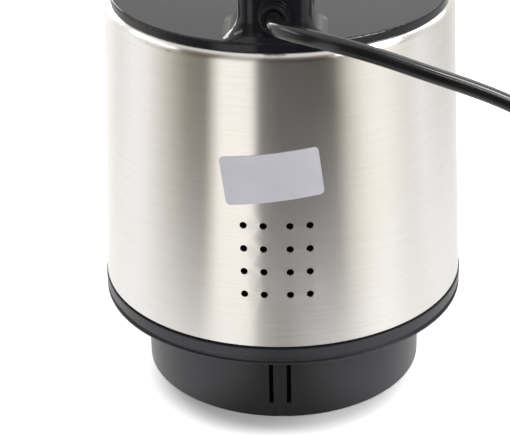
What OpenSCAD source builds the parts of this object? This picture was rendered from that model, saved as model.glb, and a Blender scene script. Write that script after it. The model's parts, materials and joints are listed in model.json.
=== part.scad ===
// Motor head of an electric meat grinder: a universal motor and a planetary gearbox in a
// tapered steel sleeve, with a bridge handle on top, two push buttons and a mains cord.
// The head stands on its round collar. Millimetres, +Z up, -Y is the rear (cord side),
// origin at the centre of the collar's lower rim.

/* [Steel sleeve] */
// Outer radius of the sleeve at its lower edge
sleeve_r = 80; // [74:0.5:95]
// Height of the sleeve
sleeve_h = 127.5; // [124:0.5:150]
// How much smaller the radius is at the top
sleeve_taper = 5.9; // [3:0.1:7]
// Thickness of the sheet
sleeve_t = 0.8; // [0.6:0.1:1.2]
// Radius of the rolled shoulder
shoulder_r = 3.5; // [2.5:0.1:5]
// Diameter of one vent hole
vent_d = 3; // [2:0.1:3.6]
// Distance between the rows of vent holes
vent_row_pitch = 10.3; // [8:0.1:12]
// Distance between neighbouring columns in a pair of vent columns
vent_col_pitch = 8.1; // [6:0.1:9]
// Distance between the two middle vent columns
vent_mid_gap = 10.8; // [8:0.1:14]
// Height of the lowest vent row above the lower edge of the sleeve
vent_bottom = 24.1; // [18:0.1:30]
// Width of the bare rating label
label_w = 40; // [30:0.5:46]
// Height of the bare rating label
label_h = 20.5; // [14:0.5:24]
// Height of the label's centre above the lower edge of the sleeve
label_rise = 76.2; // [72:0.1:100]
// Tilt of the label, right side up
label_tilt = 7.5; // [0:0.5:10]

/* [Base] */
// Outer radius of the collar
collar_r = 62.3; // [60.5:0.1:68]
// Height of the collar, below the flange
collar_h = 37.8; // [34:0.1:46]
// Height of the flange band under the sleeve
flange_h = 8.8; // [7.5:0.1:12]
// How far the flange stands out past the sleeve
flange_lip = 0.5; // [0:0.1:2]
// Wall thickness of the plastic mouldings
wall = 2.5; // [2:0.1:3]
// Thickness of the floor that carries the gearbox
floor_t = 3; // [2.5:0.1:4]
// Width of the two narrow slots in the rear of the collar
slot_w = 1.95; // [1.5:0.05:2.5]
// Height of the two slots
slot_h = 27; // [20:0.5:28]
// Distance between the centres of the two slots
slot_pitch = 7.6; // [6:0.1:12]
// Depth at which the bottom plate sits inside the collar
plate_depth = 3; // [2:0.1:4]

/* [Cover and handle] */
// Height of the cover above the sleeve
cover_rise = 3.7; // [3.2:0.1:5]
// How far the cover's edge stays inside the sleeve's top radius
cover_inset = 2.1; // [1:0.1:3]
// Width of the handle
handle_w = 29; // [28.5:0.5:34]
// Depth of the handle's section
handle_t = 28; // [27.5:0.5:32]
// Corner radius of the handle's section
handle_corner = 6.5; // [5:0.5:10]
// Free height under the handle for the fingers
finger_gap = 32; // [30:0.5:42]
// Centre line radius of the handle's two bends
handle_bend = 22; // [20:0.5:26]
// Distance between the centre lines of the two handle posts
handle_span = 106.5; // [104:0.5:112]
// How far the rear face of the handle stays inside the cover's edge
post_inset = 3.5; // [2.5:0.1:5]
// How far the foot of each post flares out
foot_flare = 6.3; // [3:0.1:7]
// Height of that flare
foot_h = 9.7; // [7:0.1:10]

/* [Buttons] */
// Side of a square push button
button_side = 15; // [13:0.5:15.5]
// Distance between the two button centres
button_pitch = 20; // [18.5:0.5:21]
// How far a button can be pressed
button_travel = 3; // [2:0.1:3.4]
// How far a free button stands above the handle
button_proud = 3.6; // [3.5:0.1:5]
// Wire thickness of a button spring
spring_wire = 0.8; // [0.6:0.1:1]

/* [Cord] */
// Diameter of the cord
cord_d = 6.2; // [6:0.1:8]
// Diameter of the cable bush
bush_d = 12.6; // [12:0.1:14]
// How far the cable bush stands out of the post
bush_out = 6; // [5:0.1:8]
// How much smaller each of the bush's ribs is than the one behind it
bush_step = 0.4; // [0:0.05:0.5]

/* [Motor] */
// Radius of the armature
armature_r = 22; // [19:0.5:22]
// Air gap between the armature and the poles
air_gap = 0.6; // [0.4:0.1:1]
// Length of the lamination stack
stack_h = 35; // [30:0.5:36]
// Outer radius of the stator laminations
stator_r = 42; // [41:0.5:44]
// Radius of the motor shaft
shaft_r = 4; // [3.5:0.25:4]
// Radius of the commutator
commutator_r = 12; // [10:0.5:13]
// Radius of the cooling fan
fan_r = 33; // [28:0.5:33]
// Number of fan blades
fan_blades = 11; // [7:1:13]

/* [Gearbox] */
// Tooth module of the gears
gear_module = 1.25; // [1.1:0.05:1.3]
// Teeth on the sun gear, a multiple of 6
sun_teeth = 12; // [12:6:12]
// Teeth on one planet gear
planet_teeth = 18; // [18:6:18]
// Width of the gear teeth along the axis
face_w = 12; // [9:0.5:13]
// Play between two meshing teeth
backlash = 0.16; // [0.1:0.02:0.24]
// Radius of the output shaft
output_r = 6; // [5:0.25:6.5]
// Width across flats of the drive socket
socket_flats = 16; // [13:0.5:17]
// Depth of the drive socket
socket_depth = 14; // [10:0.5:15]
// Outer radius of the drive coupling
coupling_r = 14; // [12.5:0.5:15]

/* [Fits] */
// Radial clearance of a shaft in its bearing
running_clearance = 0.05; // [0.03:0.01:0.08]
// Clearance between two mouldings that are assembled
assembly_gap = 0.2; // [0.1:0.05:0.3]

/* [Hidden] */
$fn = 96;
hole_fn = 32;
eps = 0.01;

// Heights
floor_z = collar_h + floor_t;
sleeve_z = collar_h + flange_h;
sleeve_top = sleeve_z + sleeve_h;
cover_top = sleeve_top + cover_rise;
function sleeve_radius(z) = sleeve_r - sleeve_taper * (z - sleeve_z) / sleeve_h;

// Sleeve and the edges it seats on
hem_w = 2.5;
hem_r = sleeve_r - hem_w;
spigot_r = hem_r - assembly_gap;
spigot_rise = 7;
seat_gap = 1.2;
shoulder_x = sleeve_radius(sleeve_top - shoulder_r) - shoulder_r;
ledge_w = 4.6;
ledge_r = shoulder_x - ledge_w;

// Bottom plate
base_plate_t = 3;

// Cover
cover_r = sleeve_r - sleeve_taper - cover_inset;
cover_t = cover_rise - 0.4;
cover_edge = 1;
cover_spigot_r = ledge_r - assembly_gap;
cover_spigot_h = 6;
cover_under = cover_top - cover_t;

// Tall pillars that carry the screws from the base up to the cover
pillar_r = 5.5;
pillar_at = collar_r - wall - pillar_r - 0.8;
driver_r = 3.6;
screw_r = 2;
pilot_r = 1.5;
boss_h = 9;
pillar_top = cover_under - boss_h;
pillar_neck = 3;

// Handle
rear_y = -(cover_r - post_inset - handle_t / 2);
front_y = rear_y + handle_span;
bar_z = cover_top + finger_gap + handle_t / 2;
bend_z = bar_z - handle_bend;
bar_len = handle_span - 2 * handle_bend;
handle_top = bar_z + handle_t / 2;
inner_top = handle_top - wall;
inner_bottom = bar_z - handle_t / 2 + wall;
parting_gap = 0.1;
bush_z = cover_top + 10.7;
bush_hole_r = bush_d / 2 - 0.9;
seam_z = bush_z + bush_hole_r + 0.6;
rear_face_y = rear_y - handle_t / 2;
lug_r = 3.2;
lug_y = [rear_y + handle_bend + 4, front_y - handle_bend - 0.5];

// Rib across the rear post that the cord rests on, with its clamp above
clamp_y = rear_y + 1;
clamp_w = 7;
clamp_half = handle_w / 2 - wall - 1.2;
clamp_screw_x = cord_d / 2 + 3;

// Circuit board in the front post
board_y = front_y - handle_t / 2 + wall + 4;
board_w = 19;
board_h = 26;
board_t = 1.6;
board_z = cover_top + 2;
peg_x = 6.5;
peg_inset = 4;

// Buttons, their switches and the carrier between them
button_corner = 3.5;
button_gap = 0.3;
flange_w = 1.2;
button_room = button_side / 2 + button_gap + flange_w;
button_y = [for (i = [1, 0]) lug_y[1] - lug_r - 2.3 - button_room - i * button_pitch];
button_flange_t = 1.5;
flange_top = inner_top - button_gap;
flange_bottom = flange_top - button_flange_t;
switch_size = [19.8, 6.4, 10.2];
switch_offset = 0.4;
carrier_floor = 2.2;
carrier_plate_t = 1.5;
switch_z = inner_bottom + assembly_gap / 2 + carrier_floor;
switch_top = switch_z + switch_size[2];
plate_z = switch_top + assembly_gap;
seat_z = plate_z + carrier_plate_t;
plunger_ratio = 0.4;
plunger_r = 1.5;
plunger_top = seat_z + 0.5;
plunger_sunk = 1.5;
stem_r = 2.4;
stem_bottom = plunger_top + button_travel * (1 - plunger_ratio) + 0.1;
spring_r = stem_r + 0.5 + spring_wire / 2;
spring_turns = 4;
carrier_wall = 1.2;
carrier_y0 = button_y[0] - switch_size[1] / 2 - 2.4;
carrier_y1 = button_y[1] + switch_size[1] / 2 + 2.4;
carrier_w = handle_w - 2 * wall - 1;

// Gear train
sun_pitch_r = gear_module * sun_teeth / 2;
planet_pitch_r = gear_module * planet_teeth / 2;
ring_teeth = sun_teeth + 2 * planet_teeth;
ring_pitch_r = gear_module * ring_teeth / 2;
planet_at = sun_pitch_r + planet_pitch_r;
addendum = 0.8 * gear_module;
dedendum = 1.05 * gear_module;
pressure_angle = 20;
ring_outer_r = ring_pitch_r + dedendum + 3;
planet_pin_r = 3;

// Gearbox stack
damper_h = 4;
gearbox_z = floor_z + damper_h;
gearbox_floor = 3.5;
gearbox_wall = 3.5;
gearbox_r = ring_outer_r + gearbox_wall;
carrier_gap = 0.7;
carrier_t = 5;
carrier_z = gearbox_z + gearbox_floor + carrier_gap;
carrier_r = planet_at + planet_pin_r + 3;
gear_z = carrier_z + carrier_t + 0.5;
gearbox_top = gear_z + face_w + 3;
hub_wall = 3;
output_bearing_section = 8;
output_bearing_r = output_r + output_bearing_section;
output_bearing_h = 8;
hub_r = output_bearing_r + hub_wall;
seal_h = 4;
circlip_t = 1.2;
hub_z = gearbox_z - output_bearing_h - circlip_t - seal_h - 1;
mount_lug_r = 5.5;
mount_at = gearbox_r + mount_lug_r;
mount_lug_h = 5;
coupling_z = plate_depth + 1;
coupling_top = hub_z - 2;

// Motor stack
bracket_t = 3.5;
bracket_r = gearbox_r;
bearing_r = 11;
bearing_h = 7;
bearing_wall = 3;
fan_z = gearbox_top + bracket_t + bearing_h + 2;
fan_h = 8.5;
winding_h = 6.5;
stack_z = fan_z + fan_h + 2 + winding_h;
stack_top = stack_z + stack_h;
commutator_z = stack_top + winding_h + 1.5;
commutator_h = 12;
upper_z = commutator_z + commutator_h + 2.5;
motor_top = upper_z + bracket_t + bearing_h;
slot_count = 12;
slot_at = armature_r - 5.4;
bolt_r = 1.9;
bolt_grip = 11;
bolt_at = stator_r - 4.2;
post_r = 4;
brush_z = commutator_z + commutator_h / 2;
brush_size = [16, 8, 6];
holder_wall = 1;
holder_len = 21;
pole_gap_r = armature_r + air_gap;
pocket_r0 = pole_gap_r + 3;
pocket_r1 = stator_r * 0.81;

// Cord route outside the housing, from the bottom of the bush to where the coil begins,
// and the short stretch from the coil to the plug
coil_centre = [165, -60];
coil_turn_r = 42;
coil_play = 0.4;
coil_r0 = coil_turn_r - 2.5 * cord_d - coil_play;
coil_r1 = coil_turn_r + cord_d / 2 + coil_play;
coil_h = 2 * cord_d + coil_play / 2;
plug_axis_z = 9.5;
cord_route = [
    [0, rear_face_y - 4, bush_z], [0, -79, bush_z], [1.8, -86.8, 189.4], [6.6, -93.4, 190.4],
    [13, -98.7, 190.7], [21.5, -102.3, 189.7], [32, -103.5, 187.2], [44.5, -103, 182.8],
    [57, -102.5, 177.9], [70, -101.5, 172.9], [82, -100.5, 167.8], [94, -100, 161.8],
    [104, -100, 154.3], [112.5, -100, 144], [118.5, -100, 131.8], [122.5, -100, 118],
    [125, -100, 104], [126.5, -100, 90], [127.5, -100, 76], [128.5, -100.3, 62],
    [130, -100.6, 48], [132.5, -101, 34.5], [138, -101.4, 22], [147, -101.8, 10.5],
];
plug_y = -26;
plug_x = coil_centre[0] + coil_turn_r - cord_d / 2 - 0.2;
relief_l = 22;
plug_l = 30;
plug_w = 27;
plug_t = 2 * plug_axis_z;
pin_l = 17;

/* ---------- shared shapes ---------- */

// Rounded rectangle, centred, made of straight sides and true arcs
module rounded_rect(w, d, r) {
    square([w - 2 * r, d], center = true);
    square([w, d - 2 * r], center = true);
    for (x = [-1, 1], y = [-1, 1])
        translate([x * (w / 2 - r), y * (d / 2 - r)]) circle(r, $fn = 48);
}

// Ring with a square section
module ring(r0, r1, h) {
    difference() {
        cylinder(h = h, r = r1);
        translate([0, 0, -1]) cylinder(h = h + 2, r = r0);
    }
}

// Flat sector of a ring, from angle a0 to a1
module ring_sector(r0, r1, a0, a1) {
    reach = r1 * 1.5;
    mid = (a0 + a1) / 2;
    intersection() {
        difference() {
            circle(r1);
            circle(r0);
        }
        polygon([[0, 0], [reach * cos(a0), reach * sin(a0)],
                 [reach * cos(mid), reach * sin(mid)], [reach * cos(a1), reach * sin(a1)]]);
    }
}

// Cylinder along Y, from y0 to y1
module bar_y(r, y0, y1) {
    translate([0, y0, 0]) rotate([-90, 0, 0]) cylinder(h = y1 - y0, r = r, $fn = hole_fn);
}

// Pan-head screw standing on its tip, head upwards
module screw(r, length, head_r, head_h) {
    cylinder(h = length, r = r, $fn = hole_fn);
    translate([0, 0, length]) difference() {
        cylinder(h = head_h, r = head_r, $fn = hole_fn);
        for (a = [0, 90]) rotate(a)
            translate([-head_r * 0.6, -0.4, head_h * 0.45]) cube([head_r * 1.2, 0.8, head_h]);
    }
}

// Involute tooth: half angle at radius r of a gear whose pitch radius is rp
function involute(a) = tan(a) * 180 / PI - a;
function half_angle(r, rp, teeth, thin) =
    let (rb = rp * cos(pressure_angle), rr = max(r, rb))
    90 / teeth + involute(pressure_angle) - involute(acos(rb / rr)) - thin / rp * 90 / PI;

// Outline of a gear with a tooth on +X; "thin" is taken off each tooth's width at the pitch line
function gear_outline(teeth, add, ded, thin) =
    let (rp = gear_module * teeth / 2,
         rs = [rp - ded, rp - ded * 0.4, rp, rp + add * 0.5, rp + add])
    [for (i = [0 : teeth - 1])
        each let (mid = 360 * i / teeth) concat(
            [for (r = rs) let (a = mid - half_angle(r, rp, teeth, thin)) [r * cos(a), r * sin(a)]],
            [for (k = [len(rs) - 1 : -1 : 0]) let (r = rs[k], a = mid + half_angle(r, rp, teeth, thin))
                [r * cos(a), r * sin(a)]])];

// Tube swept along a list of points with flat ends
function unit(v) = v / norm(v);
function tangent(p, i) =
    unit(p[min(i + 1, len(p) - 1)] - p[max(i - 1, 0)]);
function side_of(t) = unit(abs(t[2]) < 0.9 ? cross(t, [0, 0, 1]) : cross(t, [0, 1, 0]));
function carried(p, i) =
    i == 0 ? side_of(tangent(p, 0))
           : let (t = tangent(p, i), s = carried(p, i - 1)) unit(s - t * (s * t));
module swept_tube(p, r, sides) {
    frames = [for (i = [0 : len(p) - 1]) let (t = tangent(p, i), s = carried(p, i)) [s, cross(t, s)]];
    points = [for (i = [0 : len(p) - 1], k = [0 : sides - 1])
        let (a = 360 * k / sides) p[i] + r * (cos(a) * frames[i][0] + sin(a) * frames[i][1])];
    last = (len(p) - 1) * sides;
    walls = [for (i = [0 : len(p) - 2], k = [0 : sides - 1])
        let (a = i * sides + k, b = i * sides + (k + 1) % sides) [a, a + sides, b + sides, b]];
    polyhedron(points, concat([[for (k = [0 : sides - 1]) k]], walls,
                              [[for (k = [sides - 1 : -1 : 0]) last + k]]));
}

// Compression spring standing on z = 0, with one flat turn at each end
function spring_point(r, wire, h, turns, u) =
    let (dead = 0.75, climb = min(max((u - dead) / (turns - 2 * dead), 0), 1))
    [r * cos(360 * u), r * sin(360 * u), wire / 2 + (h - wire) * climb];
module coil_spring(r, wire, h, turns) {
    steps = 12;
    swept_tube([for (i = [0 : steps * turns]) spring_point(r, wire, h, turns, i / steps)], wire / 2, 6);
}

/* ---------- steel sleeve ---------- */

// Half section of the sleeve's outside, moved in by "inset"
module sleeve_outline(inset) {
    r0 = sleeve_r - inset;
    r1 = sleeve_radius(sleeve_top - shoulder_r) - inset;
    round_r = shoulder_r - inset;
    polygon([[0, sleeve_z + inset], [r0, sleeve_z + inset], [r1, sleeve_top - shoulder_r],
             [shoulder_x, sleeve_top - inset], [0, sleeve_top - inset]]);
    translate([shoulder_x, sleeve_top - shoulder_r]) circle(round_r, $fn = 64);
}

// Places its child on the rear face of the sleeve, at height z and offset x to the side
module on_rear(x, z) {
    r = sleeve_radius(z);
    rotate([0, 0, asin(x / r)]) translate([0, -r, z]) children();
}

module steel_sleeve() color("silver") difference() {
    rotate_extrude() difference() {
        sleeve_outline(0);
        sleeve_outline(sleeve_t);
        translate([0, sleeve_z - 1]) square([hem_r, 10]);
        translate([0, sleeve_top - 10]) square([ledge_r, 20]);
    }
    for (side = [-1, 1], col = [0, 1], row = [0 : 3])
        on_rear(side * (vent_mid_gap / 2 + col * vent_col_pitch),
                sleeve_z + vent_bottom + row * vent_row_pitch)
            rotate([90, 0, 0]) translate([0, 0, -5]) cylinder(h = 10, r = vent_d / 2, $fn = hole_fn);
}

module rating_label() color("gainsboro") {
    label_t = 0.3;
    rest = 0.05;
    z = sleeve_z + label_rise;
    intersection() {
        difference() {
            translate([0, 0, sleeve_z])
                cylinder(h = sleeve_h, r1 = sleeve_r + rest + label_t,
                         r2 = sleeve_radius(sleeve_top) + rest + label_t);
            translate([0, 0, sleeve_z - 1])
                cylinder(h = sleeve_h + 2, r1 = sleeve_radius(sleeve_z - 1) + rest,
                         r2 = sleeve_radius(sleeve_top + 1) + rest);
        }
        translate([-1.7, 0, z]) rotate([90, 0, 0]) rotate([0, 0, label_tilt])
            linear_extrude(sleeve_r * 1.2) rounded_rect(label_w, label_h, 1.8);
    }
}

/* ---------- base ---------- */

module at_pillars() {
    for (a = [45 : 90 : 315]) rotate(a) translate([pillar_at, 0, 0]) children();
}

module at_base_bosses() {
    for (a = [0 : 90 : 270]) rotate(a) translate([collar_r - wall - 5, 0, 0]) children();
}

module at_gearbox_mounts() {
    for (a = [0 : 90 : 270]) rotate(a) translate([mount_at, 0, 0]) children();
}

// Half section of the base: collar, floor, and the flange with its groove, seat and spigot
module base_section() {
    flange_r = sleeve_r + flange_lip;
    groove_r = flange_r - 0.8;
    seat_r = sleeve_r - 1.2;
    spigot_top = sleeve_z + spigot_rise;
    polygon([
        [collar_r - wall, 0], [collar_r - 0.5, 0], [collar_r, 0.5], [collar_r, collar_h],
        [flange_r - 0.3, collar_h], [flange_r, collar_h + 0.3], [flange_r, collar_h + 1],
        [groove_r, collar_h + 1], [groove_r, collar_h + 3.4], [flange_r, collar_h + 3.4],
        [flange_r, sleeve_z - seat_gap], [seat_r, sleeve_z - seat_gap], [seat_r, sleeve_z],
        [spigot_r, sleeve_z], [spigot_r, spigot_top], [spigot_r - wall, spigot_top],
        [spigot_r - wall, floor_z], [collar_r - wall - 1, floor_z], [collar_r - wall - 1, collar_h],
        [collar_r - wall, collar_h],
    ]);
}

module base_housing() color([0.16, 0.16, 0.17]) difference() {
    union() {
        rotate_extrude() base_section();
        translate([0, 0, collar_h]) cylinder(h = floor_t, r = collar_r - wall);
        at_pillars() translate([0, 0, floor_z - eps])
            cylinder(h = pillar_top - floor_z + eps, r = pillar_r, $fn = hole_fn);
        at_base_bosses() translate([0, 0, plate_depth + base_plate_t])
            cylinder(h = floor_z - plate_depth - base_plate_t, r = 4, $fn = hole_fn);
        at_gearbox_mounts() translate([0, 0, collar_h - 8])
            cylinder(h = 8 + eps, r = 4, $fn = hole_fn);
        translate([0, 0, hub_z]) ring(hub_r + 0.8, hub_r + 0.8 + wall, floor_z - hub_z);
    }
    translate([0, 0, hub_z - 1]) cylinder(h = floor_z - hub_z + 2, r = hub_r + 0.8);
    at_pillars() {
        translate([0, 0, collar_h - 1])
            cylinder(h = pillar_top - pillar_neck - collar_h + 1, r = driver_r, $fn = hole_fn);
        translate([0, 0, collar_h]) cylinder(h = pillar_top, r = screw_r + 0.2, $fn = hole_fn);
    }
    at_base_bosses() translate([0, 0, plate_depth])
        cylinder(h = 14, r = pilot_r, $fn = hole_fn);
    at_gearbox_mounts() translate([0, 0, collar_h - 7])
        cylinder(h = 12, r = pilot_r, $fn = hole_fn);
    for (s = [-1, 1]) rotate(s * slot_pitch / 2 / collar_r * 180 / PI)
        translate([-slot_w / 2, -collar_r - 1, 7]) cube([slot_w, wall + 2, slot_h]);
    catch_w = slot_pitch - slot_w;
    translate([-catch_w / 2, -collar_r - 1, -1]) cube([catch_w, 1.6, 6]);
}

module base_plate() color([0.13, 0.13, 0.14]) {
    outer = collar_r - wall - assembly_gap;
    mouth = coupling_r + 1.5;
    translate([0, 0, plate_depth]) difference() {
        union() {
            cylinder(h = base_plate_t, r = outer);
            translate([0, 0, base_plate_t]) ring(mouth, mouth + 2, 3);
        }
        translate([0, 0, -1]) cylinder(h = base_plate_t + 5, r = mouth);
        at_base_bosses() {
            translate([0, 0, -1]) cylinder(h = base_plate_t + 2, r = 1.8, $fn = hole_fn);
            translate([0, 0, -1]) cylinder(h = 2.4, r = 3.2, $fn = hole_fn);
        }
        for (i = [0 : 23]) if (i % 6 != 0) rotate(i * 15)
            translate([mouth + 6, -1.25, -1]) cube([outer - mouth - 14, 2.5, base_plate_t + 2]);
    }
}

module base_screws() color("dimgray") {
    length = 12;
    at_base_bosses() translate([0, 0, plate_depth + 1.4 + length]) rotate([180, 0, 0])
        screw(pilot_r, length, 2.9, 1.3);
}

/* ---------- cover and handle ---------- */

// The handle's section, grown or shrunk all round, with its thickness along X
module handle_section(grow) {
    rounded_rect(handle_t + 2 * grow, handle_w + 2 * grow, handle_corner + grow);
}

// Quarter turn of the section, from the bar down into the front post
module handle_elbow(grow) {
    rotate([0, -90, 0]) rotate_extrude(angle = 90)
        translate([handle_bend, 0]) handle_section(grow);
}

// The whole bridge from z_low up one post, along the bar and down the other
module handle_bridge(grow, z_low) {
    for (y = [rear_y, front_y])
        translate([0, y, z_low]) linear_extrude(bend_z - z_low) rotate(90) handle_section(grow);
    translate([0, front_y - handle_bend, bend_z]) handle_elbow(grow);
    translate([0, rear_y + handle_bend, bend_z]) mirror([0, 1, 0]) handle_elbow(grow);
    translate([0, rear_y + handle_bend, bar_z]) rotate([-90, 0, 0])
        linear_extrude(bar_len) rotate(90) handle_section(grow);
}

// All that lies inside the handle's centre line, which is where its two shells part
module inside_centre_line(grow) {
    half = handle_w;
    low = cover_top - 20;
    translate([-half, rear_y - grow, low])
        cube([2 * half, handle_span + 2 * grow, bend_z - low]);
    translate([-half, rear_y + handle_bend, low])
        cube([2 * half, handle_span - 2 * handle_bend, bar_z + grow - low]);
    for (y = [rear_y + handle_bend, front_y - handle_bend])
        translate([-half, y, bend_z]) rotate([0, 90, 0]) cylinder(h = 2 * half, r = handle_bend + grow);
}

// Flared foot round a post: straight flanks and revolved corners, all with one concave arc
module foot_profile(edge) {
    flare_r = (foot_flare * foot_flare + foot_h * foot_h) / (2 * foot_flare);
    difference() {
        square([edge + foot_flare, foot_h]);
        translate([edge + flare_r, foot_h]) circle(flare_r);
    }
}

module post_foot(y) {
    half_w = handle_w / 2 - handle_corner;
    half_t = handle_t / 2 - handle_corner;
    translate([0, y, cover_top]) {
        for (s = [0, 1]) mirror([s, 0, 0]) {
            translate([half_w, half_t, 0]) rotate([90, 0, 0])
                linear_extrude(2 * half_t) foot_profile(handle_corner);
            for (q = [0, 1]) mirror([0, q, 0]) translate([half_w, half_t, 0])
                rotate_extrude() foot_profile(handle_corner);
        }
        for (q = [0, 1]) mirror([0, q, 0]) translate([-half_w, half_t, 0]) rotate([90, 0, 90])
            linear_extrude(2 * half_w) foot_profile(handle_corner);
        translate([-half_w, -half_t, 0]) cube([2 * half_w, 2 * half_t, foot_h]);
    }
}

module top_cover() color([0.05, 0.05, 0.055]) difference() {
    union() {
        difference() {
            union() {
                intersection() {
                    union() {
                        post_foot(rear_y);
                        post_foot(front_y);
                    }
                    translate([0, 0, cover_top - 5]) cylinder(h = 40, r = cover_r - 0.4);
                }
                difference() {
                    handle_bridge(0, cover_top - 1);
                    // The outer half above the seam belongs to the handle cover
                    difference() {
                        translate([-handle_w, rear_y - 50, seam_z])
                            cube([2 * handle_w, handle_span + 100, 200]);
                        inside_centre_line(-parting_gap / 2);
                    }
                }
                rotate_extrude() {
                    translate([0, cover_under]) square([cover_r - cover_edge, cover_t]);
                    translate([0, sleeve_top]) square([cover_r, cover_rise - cover_edge]);
                    translate([cover_r - cover_edge, cover_top - cover_edge])
                        circle(cover_edge, $fn = 32);
                }
                translate([0, 0, sleeve_top - cover_spigot_h])
                    ring(cover_spigot_r - wall, cover_spigot_r, cover_spigot_h + 1);
            }
            // Hollow underside of the cover's rim, and the hollow inside of the handle
            translate([0, 0, sleeve_top - 1])
                cylinder(h = cover_under - sleeve_top + 1, r = cover_spigot_r - wall);
            handle_bridge(-wall, cover_under - 1);
        }
        at_pillars() translate([0, 0, pillar_top])
            cylinder(h = cover_under - pillar_top + 1, r = pillar_r - 1, $fn = hole_fn);
        translate([-handle_w / 2 + 1, clamp_y - clamp_w / 2, cover_under])
            cube([handle_w - 2, clamp_w, bush_z - cover_under]);
        at_board_pegs() bar_y(1.8, front_y - handle_t / 2 + 1, board_y);
    }
    at_pillars() translate([0, 0, pillar_top - 1])
        cylinder(h = boss_h - 1, r = pilot_r, $fn = hole_fn);
    // Hole for the bush, the groove for the cord, and the pilots of the clamp screws
    translate([0, 0, bush_z]) bar_y(bush_hole_r, rear_face_y - 10, rear_face_y + wall + 0.5);
    translate([0, 0, bush_z]) bar_y(bush_d / 2 + 0.3, rear_face_y - 10, rear_face_y);
    translate([0, 0, bush_z]) bar_y(cord_d / 2, rear_y - 8, rear_y + 8);
    for (x = [-1, 1]) translate([x * clamp_screw_x, clamp_y, bush_z - 8])
        cylinder(h = 9, r = 1, $fn = hole_fn);
    // Holes for the two screws that hold the handle cover, with room for their heads
    for (y = lug_y) translate([0, y, inner_bottom - wall]) {
        translate([0, 0, -20]) cylinder(h = 40, r = screw_r, $fn = hole_fn);
        translate([0, 0, -20]) cylinder(h = 20 + 1.2, r = driver_r, $fn = hole_fn);
    }
    at_board_pegs() bar_y(0.9, board_y - 4, board_y + 1);
}

module housing_screws() color("dimgray") {
    length = boss_h + pillar_neck - 2.5;
    at_pillars() translate([0, 0, pillar_top - pillar_neck + length]) rotate([180, 0, 0])
        screw(pilot_r, length, driver_r - 0.4, 2.2);
}

module at_buttons() {
    for (y = button_y) translate([0, y, 0]) children();
}

module handle_cover() color([0.05, 0.05, 0.055]) difference() {
    union() {
        difference() {
            handle_bridge(0, seam_z);
            handle_bridge(-wall, seam_z - 1);
            inside_centre_line(parting_gap / 2);
        }
        // Screw lugs that reach down to the lower shell
        intersection() {
            for (y = lug_y) translate([0, y, inner_bottom + assembly_gap])
                cylinder(h = handle_top, r = lug_r, $fn = hole_fn);
            handle_bridge(-wall / 2, seam_z);
        }
    }
    for (y = lug_y) translate([0, y, inner_bottom])
        cylinder(h = 10, r = pilot_r, $fn = hole_fn);
    at_buttons() {
        hole = button_side + 2 * button_gap;
        pocket = hole + 2 * flange_w;
        translate([0, 0, inner_top - 5])
            linear_extrude(20) rounded_rect(hole, hole, button_corner + button_gap);
        translate([0, 0, inner_top - 5])
            linear_extrude(5) rounded_rect(pocket, pocket, button_corner + button_gap + flange_w);
    }
}

module handle_screws() color("dimgray") {
    length = 9;
    for (y = lug_y) translate([0, y, inner_bottom - wall + 1.2 + length]) rotate([180, 0, 0])
        screw(pilot_r, length, 3, 1.8);
}

/* ---------- buttons and switches ---------- */

// Push button with a dished top; "pips" raised dots tell the two speeds apart by touch
module push_button(y, pips) {
    top = handle_top + button_proud;
    dish_r = 40;
    translate([0, y, 0]) {
        difference() {
            union() {
                translate([0, 0, flange_bottom]) linear_extrude(top - flange_bottom)
                    rounded_rect(button_side, button_side, button_corner);
                translate([0, 0, flange_bottom]) linear_extrude(button_flange_t)
                    rounded_rect(button_side + 2 * flange_w, button_side + 2 * flange_w,
                                 button_corner + flange_w);
            }
            translate([-20, 0, top + dish_r - 0.9]) rotate([0, 90, 0]) cylinder(h = 40, r = dish_r);
            // Hollow underside, closed by the top wall
            translate([0, 0, flange_bottom - 1]) linear_extrude(top - 3 - flange_bottom + 1)
                difference() {
                    rounded_rect(button_side - 3, button_side - 3, button_corner - 1.5);
                    circle(spring_r + spring_wire, $fn = 48);
                }
        }
        translate([0, 0, stem_bottom])
            cylinder(h = flange_bottom - stem_bottom + 1, r = stem_r, $fn = hole_fn);
        for (i = [0 : pips - 1]) translate([(i - (pips - 1) / 2) * 4, 0, top - 1.2])
            cylinder(h = 0.9, r = 0.8, $fn = hole_fn);
    }
}

module button_low() color([0.07, 0.07, 0.075]) push_button(button_y[0], 1);

module button_high() color([0.07, 0.07, 0.075]) push_button(button_y[1], 2);

module button_spring(y) {
    rest = 0.05;
    translate([0, y, seat_z + rest])
        coil_spring(spring_r, spring_wire, flange_bottom - seat_z - 2 * rest, spring_turns);
}

module button_spring_low() color("silver") button_spring(button_y[0]);

module button_spring_high() color("silver") button_spring(button_y[1]);

// Frame that grips the two switches and gives the springs a seat above them
module switch_carrier() color([0.75, 0.74, 0.7]) {
    z0 = inner_bottom + assembly_gap / 2;
    difference() {
        intersection() {
            translate([-carrier_w / 2, carrier_y0, z0])
                cube([carrier_w, carrier_y1 - carrier_y0, seat_z - z0]);
            handle_bridge(-wall - assembly_gap / 2, bend_z - 10);
        }
        at_buttons() {
            translate([-carrier_w, -switch_size[1] / 2 - 0.1, switch_z])
                cube([2 * carrier_w, switch_size[1] + 0.2, plate_z - switch_z]);
            translate([0, 0, plate_z - 1]) cylinder(h = 5, r = stem_r + 0.4, $fn = hole_fn);
        }
        mid = (button_y[0] + button_y[1]) / 2;
        window = button_pitch - switch_size[1] - 2 * carrier_wall - 0.2;
        translate([-carrier_w, mid - window / 2, switch_z])
            cube([2 * carrier_w, window, plate_z - switch_z]);
    }
}

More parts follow.
